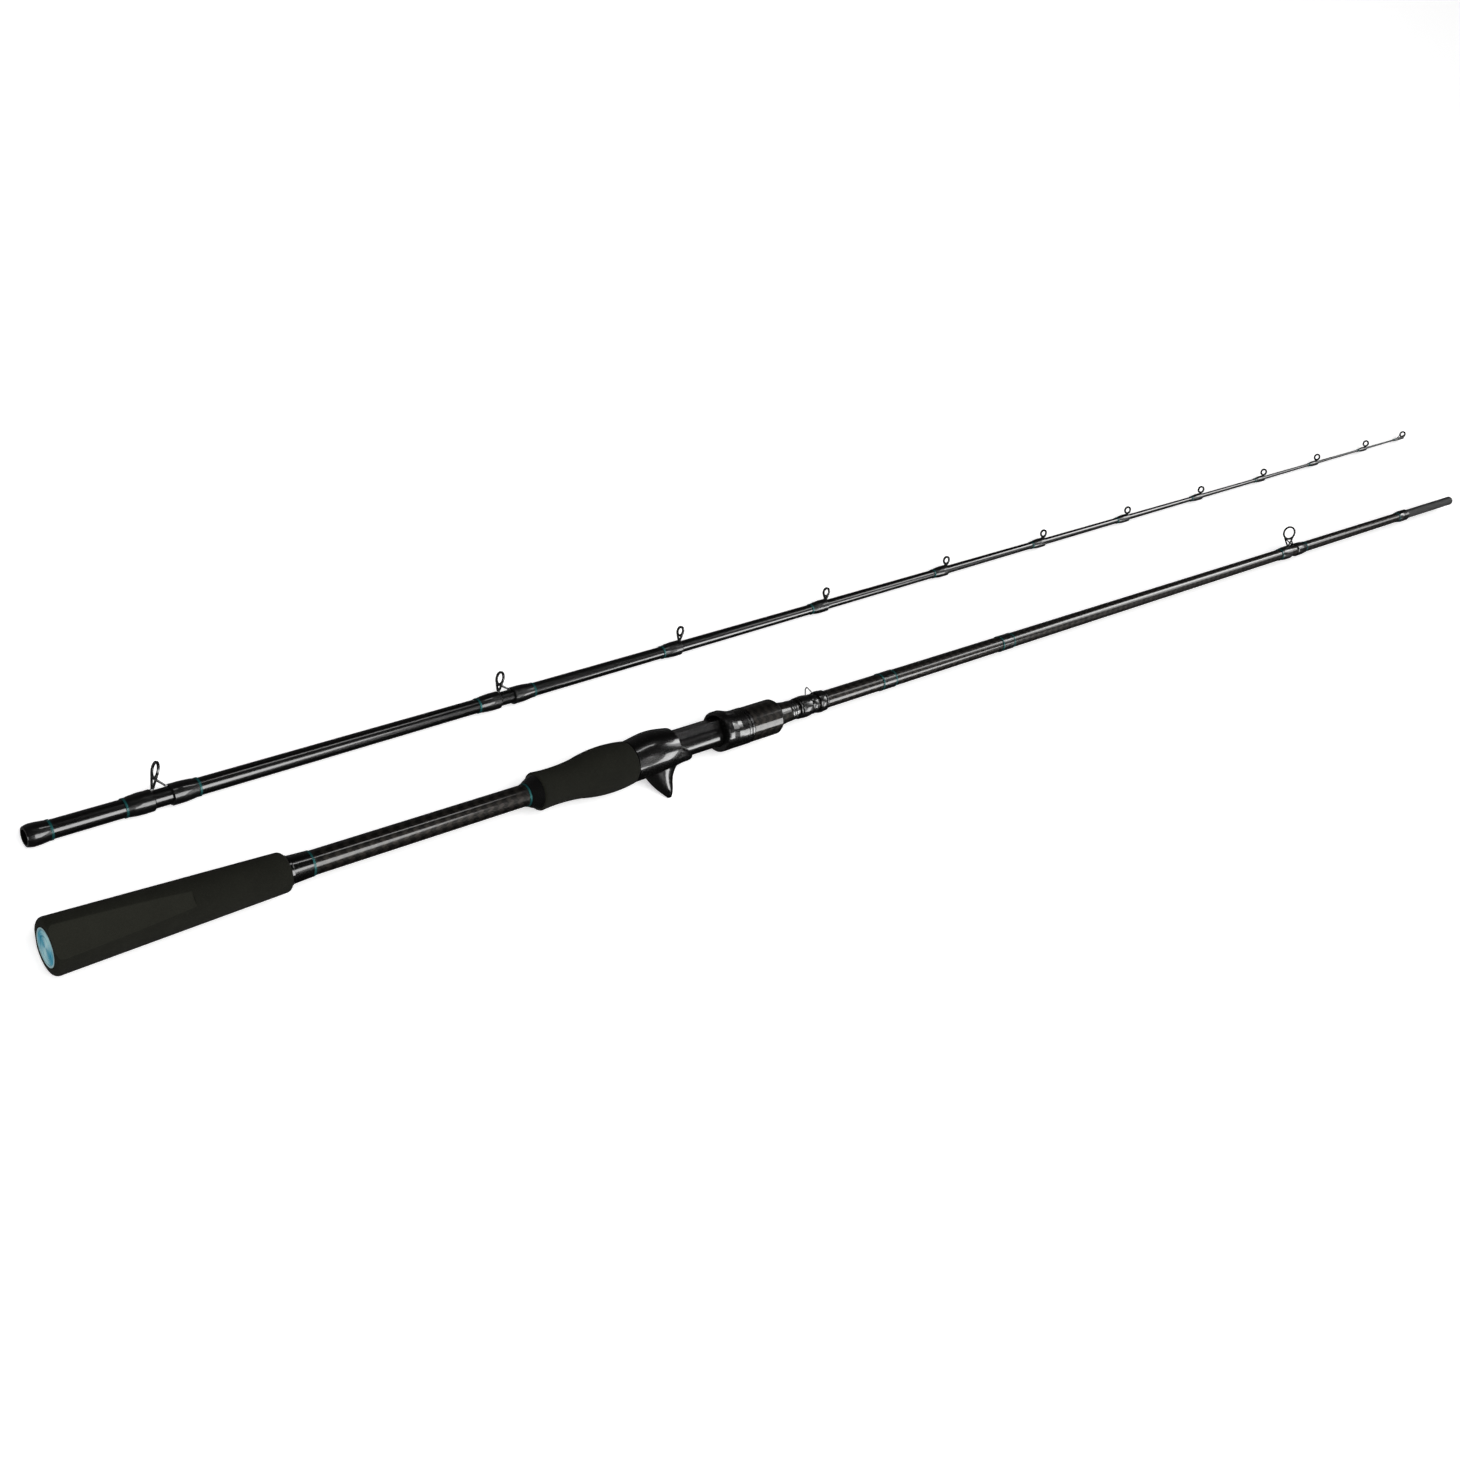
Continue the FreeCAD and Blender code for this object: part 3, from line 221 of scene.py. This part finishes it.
# %% Section coordinates
class Along:
    """Distances in millimetres along and round one section."""

    def __init__(self, finish, section):
        place, rotation, _ = section.decompose()
        point = finish.node("TexCoord", {}, {}, out="Object")
        local = finish.node("Mapping", {"vector_type": "TEXTURE"},
                            {"Vector": point, "Location": place, "Rotation": rotation.to_euler()})
        self.point = local
        parts = finish.node("SeparateXYZ", {}, {0: local}, out=None)
        self.x, self.y, self.z = [part * MM for part in parts]
        self.angle = self.z.math("ARCTAN2", self.y) * (0.5 / math.pi)
        self.radius = (self.y * self.y + self.z * self.z).math("SQRT")


def noise(finish, point, scale, detail=3.0, roughness=0.5):
    """Soft cloudy numbers from 0 to 1, with scale in bumps per metre."""
    return finish.node("TexNoise", {}, {"Vector": point, "Scale": scale, "Detail": detail,
                                        "Roughness": roughness})


def bump(finish, height, strength, depth):
    """A surface direction from a height. depth is in metres."""
    return finish.node("Bump", {}, {"Strength": strength, "Distance": depth, "Height": height})


def grey(level, warm=0.0):
    """A grey, or a slightly warm one."""
    return (level * (1 + warm), level, level * (1 - warm), 1.0)


print("section coordinates ready")

# %% [markdown]
# ## Foam for the grips
# Rod grips are turned from closed-cell foam and sanded. Sanding opens the cells, so the surface
# is a fine mat of tiny cups with no shine. Two sizes of cells feed a Bump node, and a slow cloud
# varies the black a little, as dust and handling do. The two flats of the butt grip are cut
# afterwards, and the finish paints them a shade greyer as painted light, so it has to know
# where they are.

# %% The flats of the butt grip
FLAT_REACH = 0.01195  # from the axis to a flat, in metres
FLAT_LENGTH = 0.070
FLAT_TILT = math.radians(16)


# %% Foam
FINE_CELLS = 1900.0  # cells in a metre
COARSE_CELLS = 620.0
FOAM_DARK = (0.0068, 0.0070, 0.0053, 1)
FOAM_LIGHT = (0.0220, 0.0225, 0.0172, 1)


def foam(name, section):
    finish = Finish(name)
    along = Along(finish, section)
    cells = finish.node("TexVoronoi", {}, {"Vector": along.point, "Scale": FINE_CELLS})
    coarse = finish.node("TexVoronoi", {}, {"Vector": along.point, "Scale": COARSE_CELLS})
    cloud = noise(finish, along.point, scale=70.0)
    dents = noise(finish, along.point, scale=260.0)
    height = cells + coarse * 0.6 + dents * 0.5
    # painted light: both flats are painted a shade lighter, where light falls on them
    reach = along.y.math("ABSOLUTE") * math.cos(FLAT_TILT) + along.z * math.sin(FLAT_TILT)
    painted_light_on_flats = (reach > FLAT_REACH * MM - 0.04) * (along.x < FLAT_LENGTH * MM + 0.1)
    # painted shade: the fine cells darken the colour towards the bottom of each cup
    shade = cloud * 0.45 + cells * 0.4 + painted_light_on_flats * 0.42
    return finish.surface(
        Base_Color=finish.mix(shade, FOAM_DARK, FOAM_LIGHT),
        Roughness=0.92 + cloud * 0.08,
        Specular_IOR_Level=0.1,
        Normal=bump(finish, height, strength=0.55, depth=0.00022))


foam_black = foam("foam_black", butt_section)
print(foam_black.name, "has", len(foam_black.node_tree.nodes), "nodes")

# %% [markdown]
# ## Braided carbon under lacquer
# The butt blank is covered with a braid of flat carbon tows, laid at plus and minus 45 degrees
# and sealed under clear lacquer. In a twill, each tow passes over two others and then under two.
# If we number the tows of both directions, a cell shows the first direction when the sum of its
# two numbers, counted round in fours, is under two. The two directions catch light differently,
# which we paint as two tones and press in with a Bump node, while the clear coat above stays
# smooth.

# %% Braid pattern
def braid(finish, along, tow, round_count):
    """0 or 1 for the tow on top, and a height. tow is a tow's width along the blank, in mm."""
    first = along.x * (1 / tow) + along.angle * round_count
    second = along.x * (1 / tow) - along.angle * round_count
    step = (first.math("FLOOR") + second.math("FLOOR")) * 0.25
    over = step.math("FRACT") < 0.45
    first_dome = first.math("PINGPONG", 0.5)
    second_dome = second.math("PINGPONG", 0.5)
    height = over * first_dome + (1 - over) * second_dome
    return over, height


# %% Carbon finishes
CARBON_METAL = 0.7
GROUND_ROUGHNESS = 0.62


def carbon(name, section, tow, round_count, bright, ground_from=None):
    """Braid with tows round_count to the turn. ground_from is where the bare ground end starts."""
    finish = Finish(name)
    along = Along(finish, section)
    over, height = braid(finish, along, tow, round_count)
    fibre = noise(finish, along.point, scale=900.0, detail=2.0)
    cloud = noise(finish, along.point, scale=45.0)
    # painted light: tows of one direction are painted lighter, and each tow is painted lighter
    # towards its crown as a painted highlight
    tone = over * 0.55 + height * 0.6 + fibre * 0.3 - 0.15
    colour = finish.mix(tone, grey(bright * 0.12, 0.12), grey(bright, 0.16))
    rough = 0.36 + fibre * 0.14
    coat = 1.0
    metal = CARBON_METAL
    if ground_from is not None:
        ground = along.x > ground_from
        grit = noise(finish, along.point, scale=2400.0)
        bare = finish.mix(grit, grey(0.009), grey(0.018))
        colour = finish.mix(ground, colour, bare)
        rough = rough + ground * (GROUND_ROUGHNESS - rough)
        coat = 1 - ground
        metal = CARBON_METAL - ground * CARBON_METAL
    return finish.surface(
        Base_Color=colour, Roughness=rough + cloud * 0.06, Metallic=metal,
        Coat_Weight=coat, Coat_Roughness=0.09, Coat_IOR=1.5,
        Normal=bump(finish, height + fibre * 0.3, strength=0.35, depth=0.00012))


male_end = mounts["ferrule_male"]
ferrule_start = male_end["pos_m"][0] * MM - male_end["dims"]["length_mm"] / 2
butt_carbon = carbon("butt_braided_carbon", butt_section, tow=3.4, round_count=11, bright=0.03,
                     ground_from=ferrule_start)
sleeve_carbon = carbon("sleeve_braided_carbon", butt_section, tow=3.0, round_count=18, bright=0.03)
print("ground end starts at", round(ferrule_start, 1), "mm")

# %% [markdown]
# ## Black lacquer on the tip section
# The tip blank is painted gloss black. Under the clear coat a little of the cloth shows,
# stretched along the blank, so the base has faint long streaks and the coat is almost mirror
# smooth.

# %% Lacquer
def lacquer(name, section, base):
    finish = Finish(name)
    along = Along(finish, section)
    stretched = finish.node("Mapping", {}, {"Vector": along.point, "Scale": (0.04, 1.0, 1.0)})
    streak = noise(finish, stretched, scale=900.0, detail=2.0)
    cloud = noise(finish, along.point, scale=25.0)
    return finish.surface(
        Base_Color=finish.mix(streak, grey(base * 0.5), grey(base * 1.6, 0.05)),
        Roughness=0.2 + streak * 0.12 + cloud * 0.05,
        Coat_Weight=1.0, Coat_Roughness=0.08, Coat_IOR=1.5,
        Normal=bump(finish, cloud + streak * 0.1, strength=0.12, depth=0.00005))


tip_lacquer = lacquer("tip_gloss_lacquer", tip_section, 0.0025)
print(tip_lacquer.name)

# %% [markdown]
# ## Thread and its epoxy
# A guide's feet are bound down with a single thread, wound turn beside turn, and sealed with
# epoxy. The turns are about a quarter of a millimetre apart, so along the blank the height rises
# and falls like a row of fine ridges. The black thread nearly vanishes under its thick epoxy. The
# narrow rings are metallic turquoise thread with almost no epoxy, so there the ridges sparkle.

# %% Thread finishes
THREAD_PITCH = 0.27  # one turn of thread, in millimetres


def thread(name, section, dark, light, metal, ridge, coat, rough):
    """Wound thread. ridge is how far the turns stand out, coat how much epoxy covers them."""
    finish = Finish(name)
    along = Along(finish, section)
    turns = along.x * (1 / THREAD_PITCH) + along.angle
    dome = turns.math("PINGPONG", 0.5) * 2
    fuzz = noise(finish, along.point, scale=1500.0, detail=2.0)
    sag = noise(finish, along.point, scale=110.0, detail=1.0)
    # painted highlight and painted shade: the crown of each turn is painted lighter, the hollow
    # between turns darker
    return finish.surface(
        Base_Color=finish.mix(dome * 0.7 + fuzz * 0.3, dark, light), Metallic=metal,
        Roughness=rough + fuzz * 0.15, Coat_Weight=coat, Coat_Roughness=0.05,
        Normal=bump(finish, dome * ridge + sag, strength=0.4, depth=0.00006))


BLACK = {"dark": grey(0.0015), "light": grey(0.005), "metal": 0.0, "ridge": 0.7, "coat": 1.0,
         "rough": 0.25}
TURQUOISE = {"dark": (0.002, 0.028, 0.03, 1.0), "light": (0.02, 0.16, 0.16, 1.0), "metal": 0.55,
             "ridge": 1.6, "coat": 0.3, "rough": 0.35}
butt_thread = thread("butt_black_thread", butt_section, **BLACK)
tip_thread = thread("tip_black_thread", tip_section, **BLACK)
butt_turquoise = thread("butt_turquoise_thread", butt_section, **TURQUOISE)
tip_turquoise = thread("tip_turquoise_thread", tip_section, **TURQUOISE)
print("four thread finishes")

# %% [markdown]
# ## Moulded plastic for the reel seat
# The reel seat and its hoods are glass-filled nylon, moulded, painted gloss black. Paint over a
# moulding is never quite flat: it has a soft orange-peel ripple, and rubbed places are a shade
# duller.

# %% Moulded finishes
def moulding(name, section, base, rough, ripple):
    """Painted plastic. ripple is the strength of its orange peel."""
    finish = Finish(name)
    along = Along(finish, section)
    peel = noise(finish, along.point, scale=190.0, detail=1.5)
    rub = noise(finish, along.point, scale=42.0, detail=4.0, roughness=0.6)
    return finish.surface(
        Base_Color=finish.mix(rub, grey(base * 0.7), grey(base * 1.5, 0.03)),
        Roughness=rough + rub * 0.1, Coat_Weight=0.8, Coat_Roughness=0.05,
        Normal=bump(finish, peel, strength=ripple, depth=0.0001))


seat_gloss = moulding("seat_gloss_black", butt_section, base=0.003, rough=0.2, ripple=0.16)
collar_gloss = moulding("collar_gloss_black", butt_section, base=0.003, rough=0.15, ripple=0.06)
liner_nylon = moulding("liner_dull_nylon", butt_section, base=0.008, rough=0.5, ripple=0.3)
print("mouldings ready")

# %% [markdown]
# ## Metals
# Turned metal shows rings left by the tool, which follow the radius and the distance along the
# axis. The guide frames are pressed sheet with a dark smoky plating, brighter where it wears, and
# their inserts are polished hard rings. The butt cap is blue anodised aluminium with a pale rim,
# and a fan of bright rays round its axis is painted into its colour as a painted reflection.

# %% Metal finishes
FAN_TURN = 0.12  # where the first bright ray lies, as a share of a turn


def turned_metal(name, section, dark, light, rough, line, coat=0.0, metal=1.0, fan=0.0):
    """Turned metal. line is the tool rings' spacing in mm, fan the strength of its painted
    reflection rays.
    """
    finish = Finish(name)
    along = Along(finish, section)
    groove = (along.radius + along.x) * (1 / line)
    ring = groove.math("PINGPONG", 0.5) * 2
    smear = noise(finish, along.point, scale=160.0, detail=4.0)
    # painted reflection: a fan of bright rays round the axis, painted into the colour
    painted_reflection_rays = ((along.angle + FAN_TURN) * (4 * math.pi)).math("COSINE")
    return finish.surface(
        Base_Color=finish.mix(ring * 0.3 + smear * 0.5 + painted_reflection_rays * fan, dark, light), Metallic=metal,
        Roughness=rough + ring * 0.06 + smear * 0.08, Coat_Weight=coat, Coat_Roughness=0.06,
        Normal=bump(finish, ring, strength=0.18, depth=0.00004))


def plated_sheet(name, section, dark, light, rough):
    finish = Finish(name)
    along = Along(finish, section)
    smear = noise(finish, along.point, scale=420.0, detail=4.0)
    grain = noise(finish, along.point, scale=2600.0, detail=2.0)
    return finish.surface(
        Base_Color=finish.mix(smear, dark, light), Metallic=1.0,
        Roughness=rough + smear * 0.12 + grain * 0.08,
        Normal=bump(finish, grain, strength=0.12, depth=0.00003))


SMOKE = {"dark": grey(0.05), "light": grey(0.16), "rough": 0.16}
cap_blue = turned_metal("cap_blue_anodised", butt_section, dark=(0.01, 0.36, 0.54, 1),
                        light=(0.7, 1.0, 1.0, 1), rough=0.3, line=0.9, coat=0.5, metal=0.3,
                        fan=0.35)
rim_pale = turned_metal("rim_pale_metal", butt_section, dark=(0.3, 0.55, 0.6, 1),
                        light=(0.62, 0.82, 0.85, 1), rough=0.25, line=0.3, metal=0.4)
check_metal = turned_metal("check_ring_metal", butt_section, dark=grey(0.1), light=grey(0.3),
                           rough=0.2, line=0.25)
trim_metal = turned_metal("trim_ring_metal", butt_section, dark=grey(0.05), light=grey(0.2),
                          rough=0.18, line=0.3, coat=0.4)
steel = plated_sheet("keeper_steel", butt_section, dark=grey(0.12), light=grey(0.3), rough=0.2)
butt_guide_metal = plated_sheet("butt_guide_smoky_metal", butt_section, **SMOKE)
tip_guide_metal = plated_sheet("tip_guide_smoky_metal", tip_section, **SMOKE)
print("metals ready")

# %% Ring inserts
def polished_ring(name, section):
    finish = Finish(name)
    along = Along(finish, section)
    cloud = noise(finish, along.point, scale=500.0, detail=2.0)
    return finish.surface(
        Base_Color=finish.mix(cloud, grey(0.016), grey(0.035)), Metallic=0.35,
        Roughness=0.06 + cloud * 0.06, Coat_Weight=0.6, Coat_Roughness=0.03,
        Normal=bump(finish, cloud, strength=0.05, depth=0.00002))


butt_ring = polished_ring("butt_ring_insert", butt_section)
tip_ring = polished_ring("tip_ring_insert", tip_section)
print("inserts ready")

# %% [markdown]
# ## Giving each part its finish
# The parts keep their exact shapes, and only their material slot changes. Guides repeat along the
# tip section, so their finish is chosen by the end of their name.

# %% Paint the parts
FINISHES = {
    "butt_blank": butt_carbon, "fore_cone": sleeve_carbon, "nut_carbon_sleeve": sleeve_carbon,
    "tip_blank": tip_lacquer,
    "butt_cap": cap_blue, "butt_cap_rim": rim_pale,
    "rear_winding_check": collar_gloss, "palm_grip_collar": collar_gloss,
    "reel_seat": seat_gloss, "sliding_hood": seat_gloss, "lock_nut": seat_gloss,
    "fixed_hood_liner": liner_nylon, "sliding_hood_liner": liner_nylon, "seat_arbors": liner_nylon,
    "hood_trim_ring": trim_metal, "nut_trim_ring": trim_metal, "fore_check_rings": check_metal,
    "hook_keeper": steel, "keeper_wraps": butt_thread, "decorative_wraps": butt_thread,
    "ferrule_wrap": butt_thread, "butt_guide_wraps": butt_thread,
    "mouth_wrap": tip_thread, "tip_guide_wraps": tip_thread, "tip_top_wrap": tip_thread,
    "butt_thread_rings": butt_turquoise, "tip_thread_rings": tip_turquoise,
}
for name in nodes:
    if name.endswith("_insert"):
        FINISHES[name] = butt_ring if name.startswith("butt") else tip_ring
    if name.endswith("_frame"):
        FINISHES[name] = butt_guide_metal if name.startswith("butt") else tip_guide_metal
for name, finish in FINISHES.items():
    nodes[name].data.materials[0] = finish
print("unpainted:", sorted(set(nodes) - set(FINISHES)))

# %% [markdown]
# ## The foam grips as new pieces
# A grip is turned on a lathe, so its new mesh is spun from an outline. The outline is felt out on
# the exact part: a ray sent towards the axis stops at the foam's outer face, and a ray sent from
# the axis stops at its bore. The stations stand close together where the foam is rounded.

# %% Feel out an outline
TINY = 0.00001  # just inside an end, in metres
BESIDE = 0.0005  # clear of a step in a bore
OUTSIDE = 0.05  # farther from the axis than any grip reaches
EDGE_STEPS = 6


def wall(name):
    """A function of x that gives a round part's outer or inner radius, in metres."""
    shape = bmesh.new()
    shape.from_mesh(nodes[name].data)
    tree = BVHTree.FromBMesh(shape)
    shape.free()
    up = butt_section.to_3x3() @ Vector((0, 0, 1))

    def radius(x, inside=False):
        axis = Vector((x, 0, 0))
        start, way = (axis, up) if inside else (axis + up * OUTSIDE, -up)
        hit = tree.ray_cast(start, way)[0]
        return (hit - axis).length

    return radius


def stations(start, end, edge, step):
    """Places from start to end in metres, close together within edge of both ends."""
    rounds = [edge * (1 - math.cos(math.pi / 2 * k / EDGE_STEPS)) for k in range(1, EDGE_STEPS + 1)]
    count = round((end - start - 2 * edge) / step)
    middle = [start + edge + (end - start - 2 * edge) * k / count for k in range(1, count)]
    first = [start] + [start + r for r in rounds]
    last = [end - r for r in reversed(rounds)] + [end]
    return first + middle + last


def outer_line(radius, low, high, edge, step):
    """The outer face of a round part as (x, radius) points, felt just inside its two ends."""
    places = stations(low, high, edge, step)
    return [(x, radius(min(max(x, low + TINY), high - TINY))) for x in places]


# %% Spin a grip
def spun(outline, steps):
    """A closed ring from an outline of (x, radius) points, in the section's own frame."""
    shape = bmesh.new()
    verts = [shape.verts.new((x, 0, radius)) for x, radius in outline]
    edges = [shape.edges.new(pair) for pair in zip(verts, verts[1:] + verts[:1])]
    bmesh.ops.spin(shape, geom=verts + edges, cent=(0, 0, 0), axis=(1, 0, 0), angle=2 * math.pi,
                   steps=steps, use_merge=True)
    bmesh.ops.remove_doubles(shape, verts=shape.verts, dist=1e-7)
    bmesh.ops.recalc_face_normals(shape, faces=shape.faces)
    return shape


def piece(name, shape, finish, crease):
    """Turns a bmesh in the section's frame into an object that rides on the butt section."""
    bmesh.ops.transform(shape, matrix=butt_section, verts=shape.verts)
    mesh = bpy.data.meshes.new(name)
    shape.to_mesh(mesh)
    shape.free()
    mesh.shade_smooth()
    mesh.set_sharp_from_angle(angle=math.radians(crease))
    mesh.materials.append(finish)
    made = bpy.data.objects.new(name, mesh)
    bpy.context.scene.collection.objects.link(made)
    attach(made, "butt_section")
    print(name, len(mesh.polygons), "faces")
    return made


def foam_piece(node, shape, crease):
    """Stands a foam piece in for a part. crease is the bend, in degrees, where it looks sharp."""
    made = piece(node + "_foam", shape, foam_black, crease)
    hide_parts(node)


# %% Palm grip
palm = wall("palm_grip")
low, high = (corner.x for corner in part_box("palm_grip"))
seat_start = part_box("reel_seat")[0].x
wide_bore = palm(high - TINY, inside=True)
outline = outer_line(palm, low, high, edge=0.0012, step=0.0012)
outline += [(high, wide_bore), (seat_start, wide_bore),
            (seat_start, palm(seat_start - BESIDE, inside=True)),
            (low, palm(low + TINY, inside=True))]
foam_piece("palm_grip", spun(outline, steps=128), crease=40)

# %% [markdown]
# The butt grip has two long flats, which keep it from rolling under an arm. Each is made on the
# spun foam: a cut along the plane of the flat marks its outline, two cuts across mark its squared
# front end, and every point outside the plane is then pressed down onto it.

# %% Butt grip
CAP_GAP = 0.0002  # between the cap and the foam in front of it, in metres
STEP_WIDTH = 0.0003  # the short ramp at the front end of a flat
grip = wall("butt_grip")
low, high = (corner.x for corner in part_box("butt_grip"))
cap_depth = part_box("butt_cap_rim")[1].x
cap_bore = grip(cap_depth - TINY, inside=True)
outline = outer_line(grip, low, high, edge=0.0026, step=0.003)
outline += [(high, grip(high - TINY, inside=True)),
            (cap_depth + CAP_GAP, grip(cap_depth + BESIDE, inside=True)),
            (cap_depth + CAP_GAP, cap_bore), (low, cap_bore)]
grip_shape = spun(outline, steps=192)
forward = Vector((1, 0, 0))
for side in (-1, 1):
    outward = Vector((0, side * math.cos(FLAT_TILT), math.sin(FLAT_TILT)))
    cuts = ((outward * FLAT_REACH, outward), (forward * FLAT_LENGTH, forward),
            (forward * (FLAT_LENGTH + STEP_WIDTH), forward))
    for place, way in cuts:
        everything = grip_shape.verts[:] + grip_shape.edges[:] + grip_shape.faces[:]
        bmesh.ops.bisect_plane(grip_shape, geom=everything, dist=1e-6, plane_co=place, plane_no=way)
    for vert in grip_shape.verts:
        proud = vert.co.dot(outward) - FLAT_REACH
        if vert.co.x < FLAT_LENGTH + TINY and proud > 0:
            vert.co -= outward * proud
foam_piece("butt_grip", grip_shape, crease=18)

# %% [markdown]
# ## A plain studio
# The floor is pale and lies just under the lowest part. Gloss black shows nothing of itself, only
# what stands around it. Two soft boxes at the side draw the broad grey streak low on each blank,
# two narrow strips above draw the thin bright line, and two boxes beyond the tips, a bright one
# inside a wide one, carry it on. These are seen in reflections only. The matt parts are lit by
# one large light overhead and a small one behind the butt cap, which no reflection shows. The
# floor is kept out of mirror reflections too, so undersides stay dark.

# %% Floor
FLOOR_GAP = 0.0002  # in metres, as are the sizes of the floor and the lights
FLOOR_REACH = 30
FLOOR_GLOW = 0.55
floor_level = size_at_start[0].z - FLOOR_GAP
floor_mesh = bpy.data.meshes.new("floor")
floor_shape = bmesh.new()
bmesh.ops.create_grid(floor_shape, x_segments=1, y_segments=1, size=FLOOR_REACH)
bmesh.ops.translate(floor_shape, verts=floor_shape.verts, vec=(0, 0, floor_level))
floor_shape.to_mesh(floor_mesh)
floor_shape.free()
floor = bpy.data.objects.new("floor", floor_mesh)
bpy.context.scene.collection.objects.link(floor)
pale = Finish("floor_pale")
pale.surface(Base_Color=grey(0.8), Roughness=1.0, Specular_IOR_Level=0.0,
             Emission_Color=grey(1.0), Emission_Strength=FLOOR_GLOW)
floor_mesh.materials.append(pale.material)
floor.visible_glossy = False
print("floor at", round(floor_level, 4))


# %% Lights
def soft_light(name, start, end, width, target, brightness):
    """A long light between two points, turned towards a target. White paper has brightness 1."""
    start, end, target = Vector(start), Vector(end), Vector(target)
    middle = (start + end) / 2
    along = (end - start).normalized()
    across = (middle - target).cross(along).normalized()
    turn = Matrix((along, across, along.cross(across))).transposed().to_4x4()
    length = (end - start).length
    data = bpy.data.lights.new(name, "AREA")
    data.shape = "RECTANGLE"
    data.size, data.size_y, data.energy = length, width, brightness * length * width * math.pi
    light = bpy.data.objects.new(name, data)
    light.matrix_world = Matrix.Translation(middle) @ turn
    light.visible_camera = False
    bpy.context.scene.collection.objects.link(light)
    return light


# name, start, end, width, target, brightness
SEEN_IN_REFLECTIONS = (
    ("side_box_near", (0.5, -1.5, 1.5), (1.24, -1.5, 1.25), 1.3, (0.15, 0, 0), 7.0),
    ("side_box_far", (1.6, -1.5, 0.75), (2.25, -1.5, 0.45), 1.0, (0.5, 0, 0), 7.5),
    ("top_strip_near", (1.0, 0.9, 2.0), (1.5, 0.62, 2.0), 0.22, (0.3, 0, 0), 5.5),
    ("top_strip_far", (2.2, 0.15, 2.0), (2.85, 0.0, 2.0), 0.25, (0.6, 0, 0), 4.0),
    ("far_box", (2.9, 0.2, 2.0), (5.4, -1.4, 2.0), 1.3, (0.9, 0, 0), 2.8),
    ("far_core", (3.0, 0.25, 1.99), (4.4, -0.1, 1.99), 0.9, (0.9, 0, 0), 5.5),
)
FOR_MATT_PARTS = (
    ("overhead", (-1.6, -0.8, 3.2), (2.4, -0.8, 3.2), 3.0, (0.6, 0, 0), 3.2),
    ("cap_fill", (-1.2, -0.9, 0.5), (-1.2, 0.1, 0.5), 0.7, (0, 0, 0), 2.6),
)
for row in SEEN_IN_REFLECTIONS:
    soft_light(*row).visible_diffuse = False
for row in FOR_MATT_PARTS:
    soft_light(*row).visible_glossy = False
bpy.context.scene.view_settings.view_transform = "Standard"
print(len(SEEN_IN_REFLECTIONS), "lights for gloss,", len(FOR_MATT_PARTS), "for matt parts")

# %% The room
ROOM_LIGHT = 0.4
MIRRORED_ROOM = 0.03  # the room is almost black where it is mirrored
BEHIND_FROM, BEHIND_RISE = 0.35, 0.9
BEYOND_FROM, BEYOND_RISE, BEYOND_MOST = 0.25, 1.1, 1.5

world = bpy.data.worlds.new("studio")
world.use_nodes = True
bpy.context.scene.world = world
room = Graph(world.node_tree)
background = room.tree.nodes["Background"]
sky = room.node("TexCoord", {}, {}, out="Object")
x, y, z = room.node("SeparateXYZ", {}, {0: sky}, out=None)
mirrored = room.node("LightPath", {}, {}, out="Is Glossy Ray")
behind = ((BEHIND_FROM - x) * BEHIND_RISE).math("MAXIMUM", 0.0)
low_and_far = y - z * 0.9
beyond = ((low_and_far - BEYOND_FROM) * BEYOND_RISE).math("MAXIMUM", 0.0)
beyond = beyond.math("MINIMUM", BEYOND_MOST)
strength = ROOM_LIGHT + mirrored * (behind + beyond - (ROOM_LIGHT - MIRRORED_ROOM))
room.feed(background.inputs["Strength"], strength)
print("the room shows in reflections only behind the butt end and low beyond the far side")
